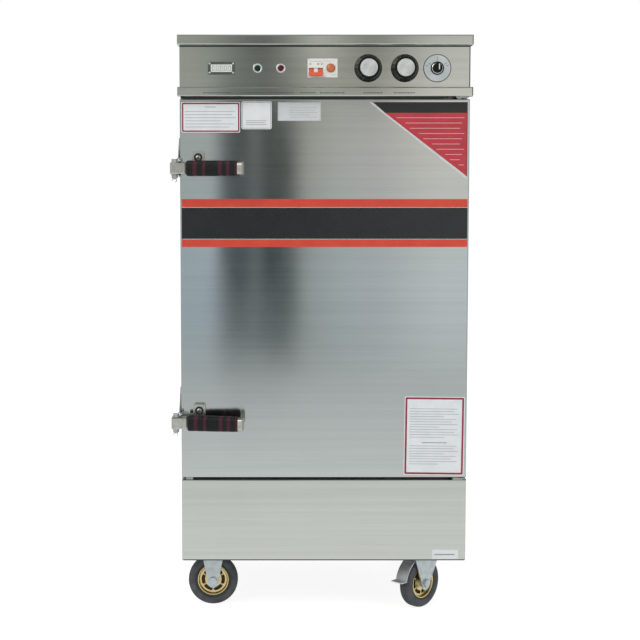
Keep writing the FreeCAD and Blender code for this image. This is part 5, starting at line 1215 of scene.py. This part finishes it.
def fastenerNodes():
    # One head on each point, aimed along its facing, turned by a seeded amount
    tree = bpy.data.node_groups.new("fastenerRow", "GeometryNodeTree")
    sockets = (
        ("Geometry", "OUTPUT", "Geometry"), ("Geometry", "INPUT", "Geometry"), ("Head", "INPUT", "Object"),
        ("Finish", "INPUT", "Material"), ("Seed", "INPUT", "Int"), ("Most turn", "INPUT", "Float"),
    )
    for label, way, kind in sockets:
        tree.interface.new_socket(name=label, in_out=way, socket_type="NodeSocket" + kind)
    given = addNode(tree, "NodeGroupInput").outputs
    head = addNode(tree, "GeometryNodeObjectInfo", {"Object": given["Head"]}).outputs["Geometry"]
    facing = addNode(tree, "GeometryNodeInputNamedAttribute", {"Name": "facing"}, data_type="FLOAT_VECTOR")
    kit = {"Vector": facing.outputs["Attribute"]}
    aimed = addNode(tree, "FunctionNodeAlignRotationToVector", kit, axis="Z").outputs[0]
    kit = {"Max": given["Most turn"], "Seed": given["Seed"]}
    chance = addNode(tree, "FunctionNodeRandomValue", kit, data_type="FLOAT").outputs["Value"]
    kit = {"Axis": (0, 0, 1), "Angle": chance}
    spin = addNode(tree, "FunctionNodeAxisAngleToRotation", kit).outputs[0]
    kit = {"Rotation": aimed, "Rotate By": spin}
    both = addNode(tree, "FunctionNodeRotateRotation", kit, rotation_space="LOCAL").outputs[0]
    kit = {"Points": given["Geometry"], "Instance": head, "Rotation": both}
    rows = addNode(tree, "GeometryNodeInstanceOnPoints", kit).outputs[0]
    solid = addNode(tree, "GeometryNodeRealizeInstances", {"Geometry": rows}).outputs[0]
    kit = {"Geometry": solid, "Material": given["Finish"]}
    coated = addNode(tree, "GeometryNodeSetMaterial", kit).outputs[0]
    addNode(tree, "NodeGroupOutput", {"Geometry": coated})
    return tree


fastenerTree = fastenerNodes()
heads = {
    "pan": screwHead("panHead", ((4.0, 0.0), (4.0, 0.9), (3.5, 1.8), (2.4, 2.3), (0, 2.45))),
    "hex": screwHead("hexHead", ((7.4, 0.0), (7.5, 0.4), (7.5, 4.6), (6.9, 5.2), (0, 5.2)), 6),
    "rivet": screwHead("rivetHead", ((3.3, 0.0), (3.2, 0.6), (2.4, 1.1), (1.0, 1.25), (0.9, 0.7), (0, 0.7))),
}


def fasteners(name, body, kind, finish, places, seed, mostTurn):
    mesh = bpy.data.meshes.new(name)
    mesh.from_pydata([[part / 1000 for part in spot] for spot, aim in places], [], [])
    facing = mesh.attributes.new("facing", "FLOAT_VECTOR", "POINT")
    facing.data.foreach_set("vector", [part for spot, aim in places for part in aim])
    holder = shown(name + "Points", mesh)
    row = holder.modifiers.new("fastenerRow", "NODES")
    row.node_group = fastenerTree
    wanted = {"Head": heads[kind], "Finish": finishes[finish], "Seed": seed, "Most turn": mostTurn}
    for item in fastenerTree.interface.items_tree:
        if item.in_out == "INPUT" and item.name in wanted:
            row[item.identifier] = wanted[item.name]
    bpy.context.view_layer.update()
    evaluated = holder.evaluated_get(bpy.context.evaluated_depsgraph_get())
    made = bpy.data.meshes.new_from_object(evaluated)
    holder.modifiers.clear()
    bpy.data.objects.remove(holder)
    made.name = name
    shaded(made, 34)
    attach(shown(name, made), body)


rear, left, down = (0, 1, 0), (-1, 0, 0), (0, 0, -1)
rearScrews = [((x, 305.0, z), rear) for z in (150, 1300, 1380) for x in (-335, -168, 0, 168, 335)]
rearScrews += [((x, 305.0, z), rear) for x in (-335, 335) for z in (430, 710, 990)]
rearScrews += [((x, 309.0, 1407.0), rear) for x in (-320, -107, 107, 320)]
bracketSpots = ((-246, 52), (-232, 22), (-232, -10))
sideScrews = [((-355.0, y, level + z), left) for level in latch["levels"].values() for y, z in bracketSpots]
fasteners("panel_screws", "cabinet", "pan", "screwSteel", rearScrews + sideScrews, 4, 1.5)
plates = [(x, y) for x in (-277.0, 270.0) for y in (-210.0, 228.0)]
plateBolts = [((x + dx, y + dy, 153.0), down) for x, y in plates for dx in (-44, 44) for dy in (-35, 35)]
fasteners("caster_bolts", "cabinet", "hex", "zinc_steel", plateBolts, 9, 1.0)
doorRivets = [((x, -263.0, z), rear) for x in (-318, 318) for z in range(380, 1240, 106)]
fasteners("door_rivets", "door", "rivet", "pipe_steel", doorRivets, 2, 1.0)
for head in heads.values():
    bpy.data.objects.remove(head)
print("stage: back, sides and fasteners")
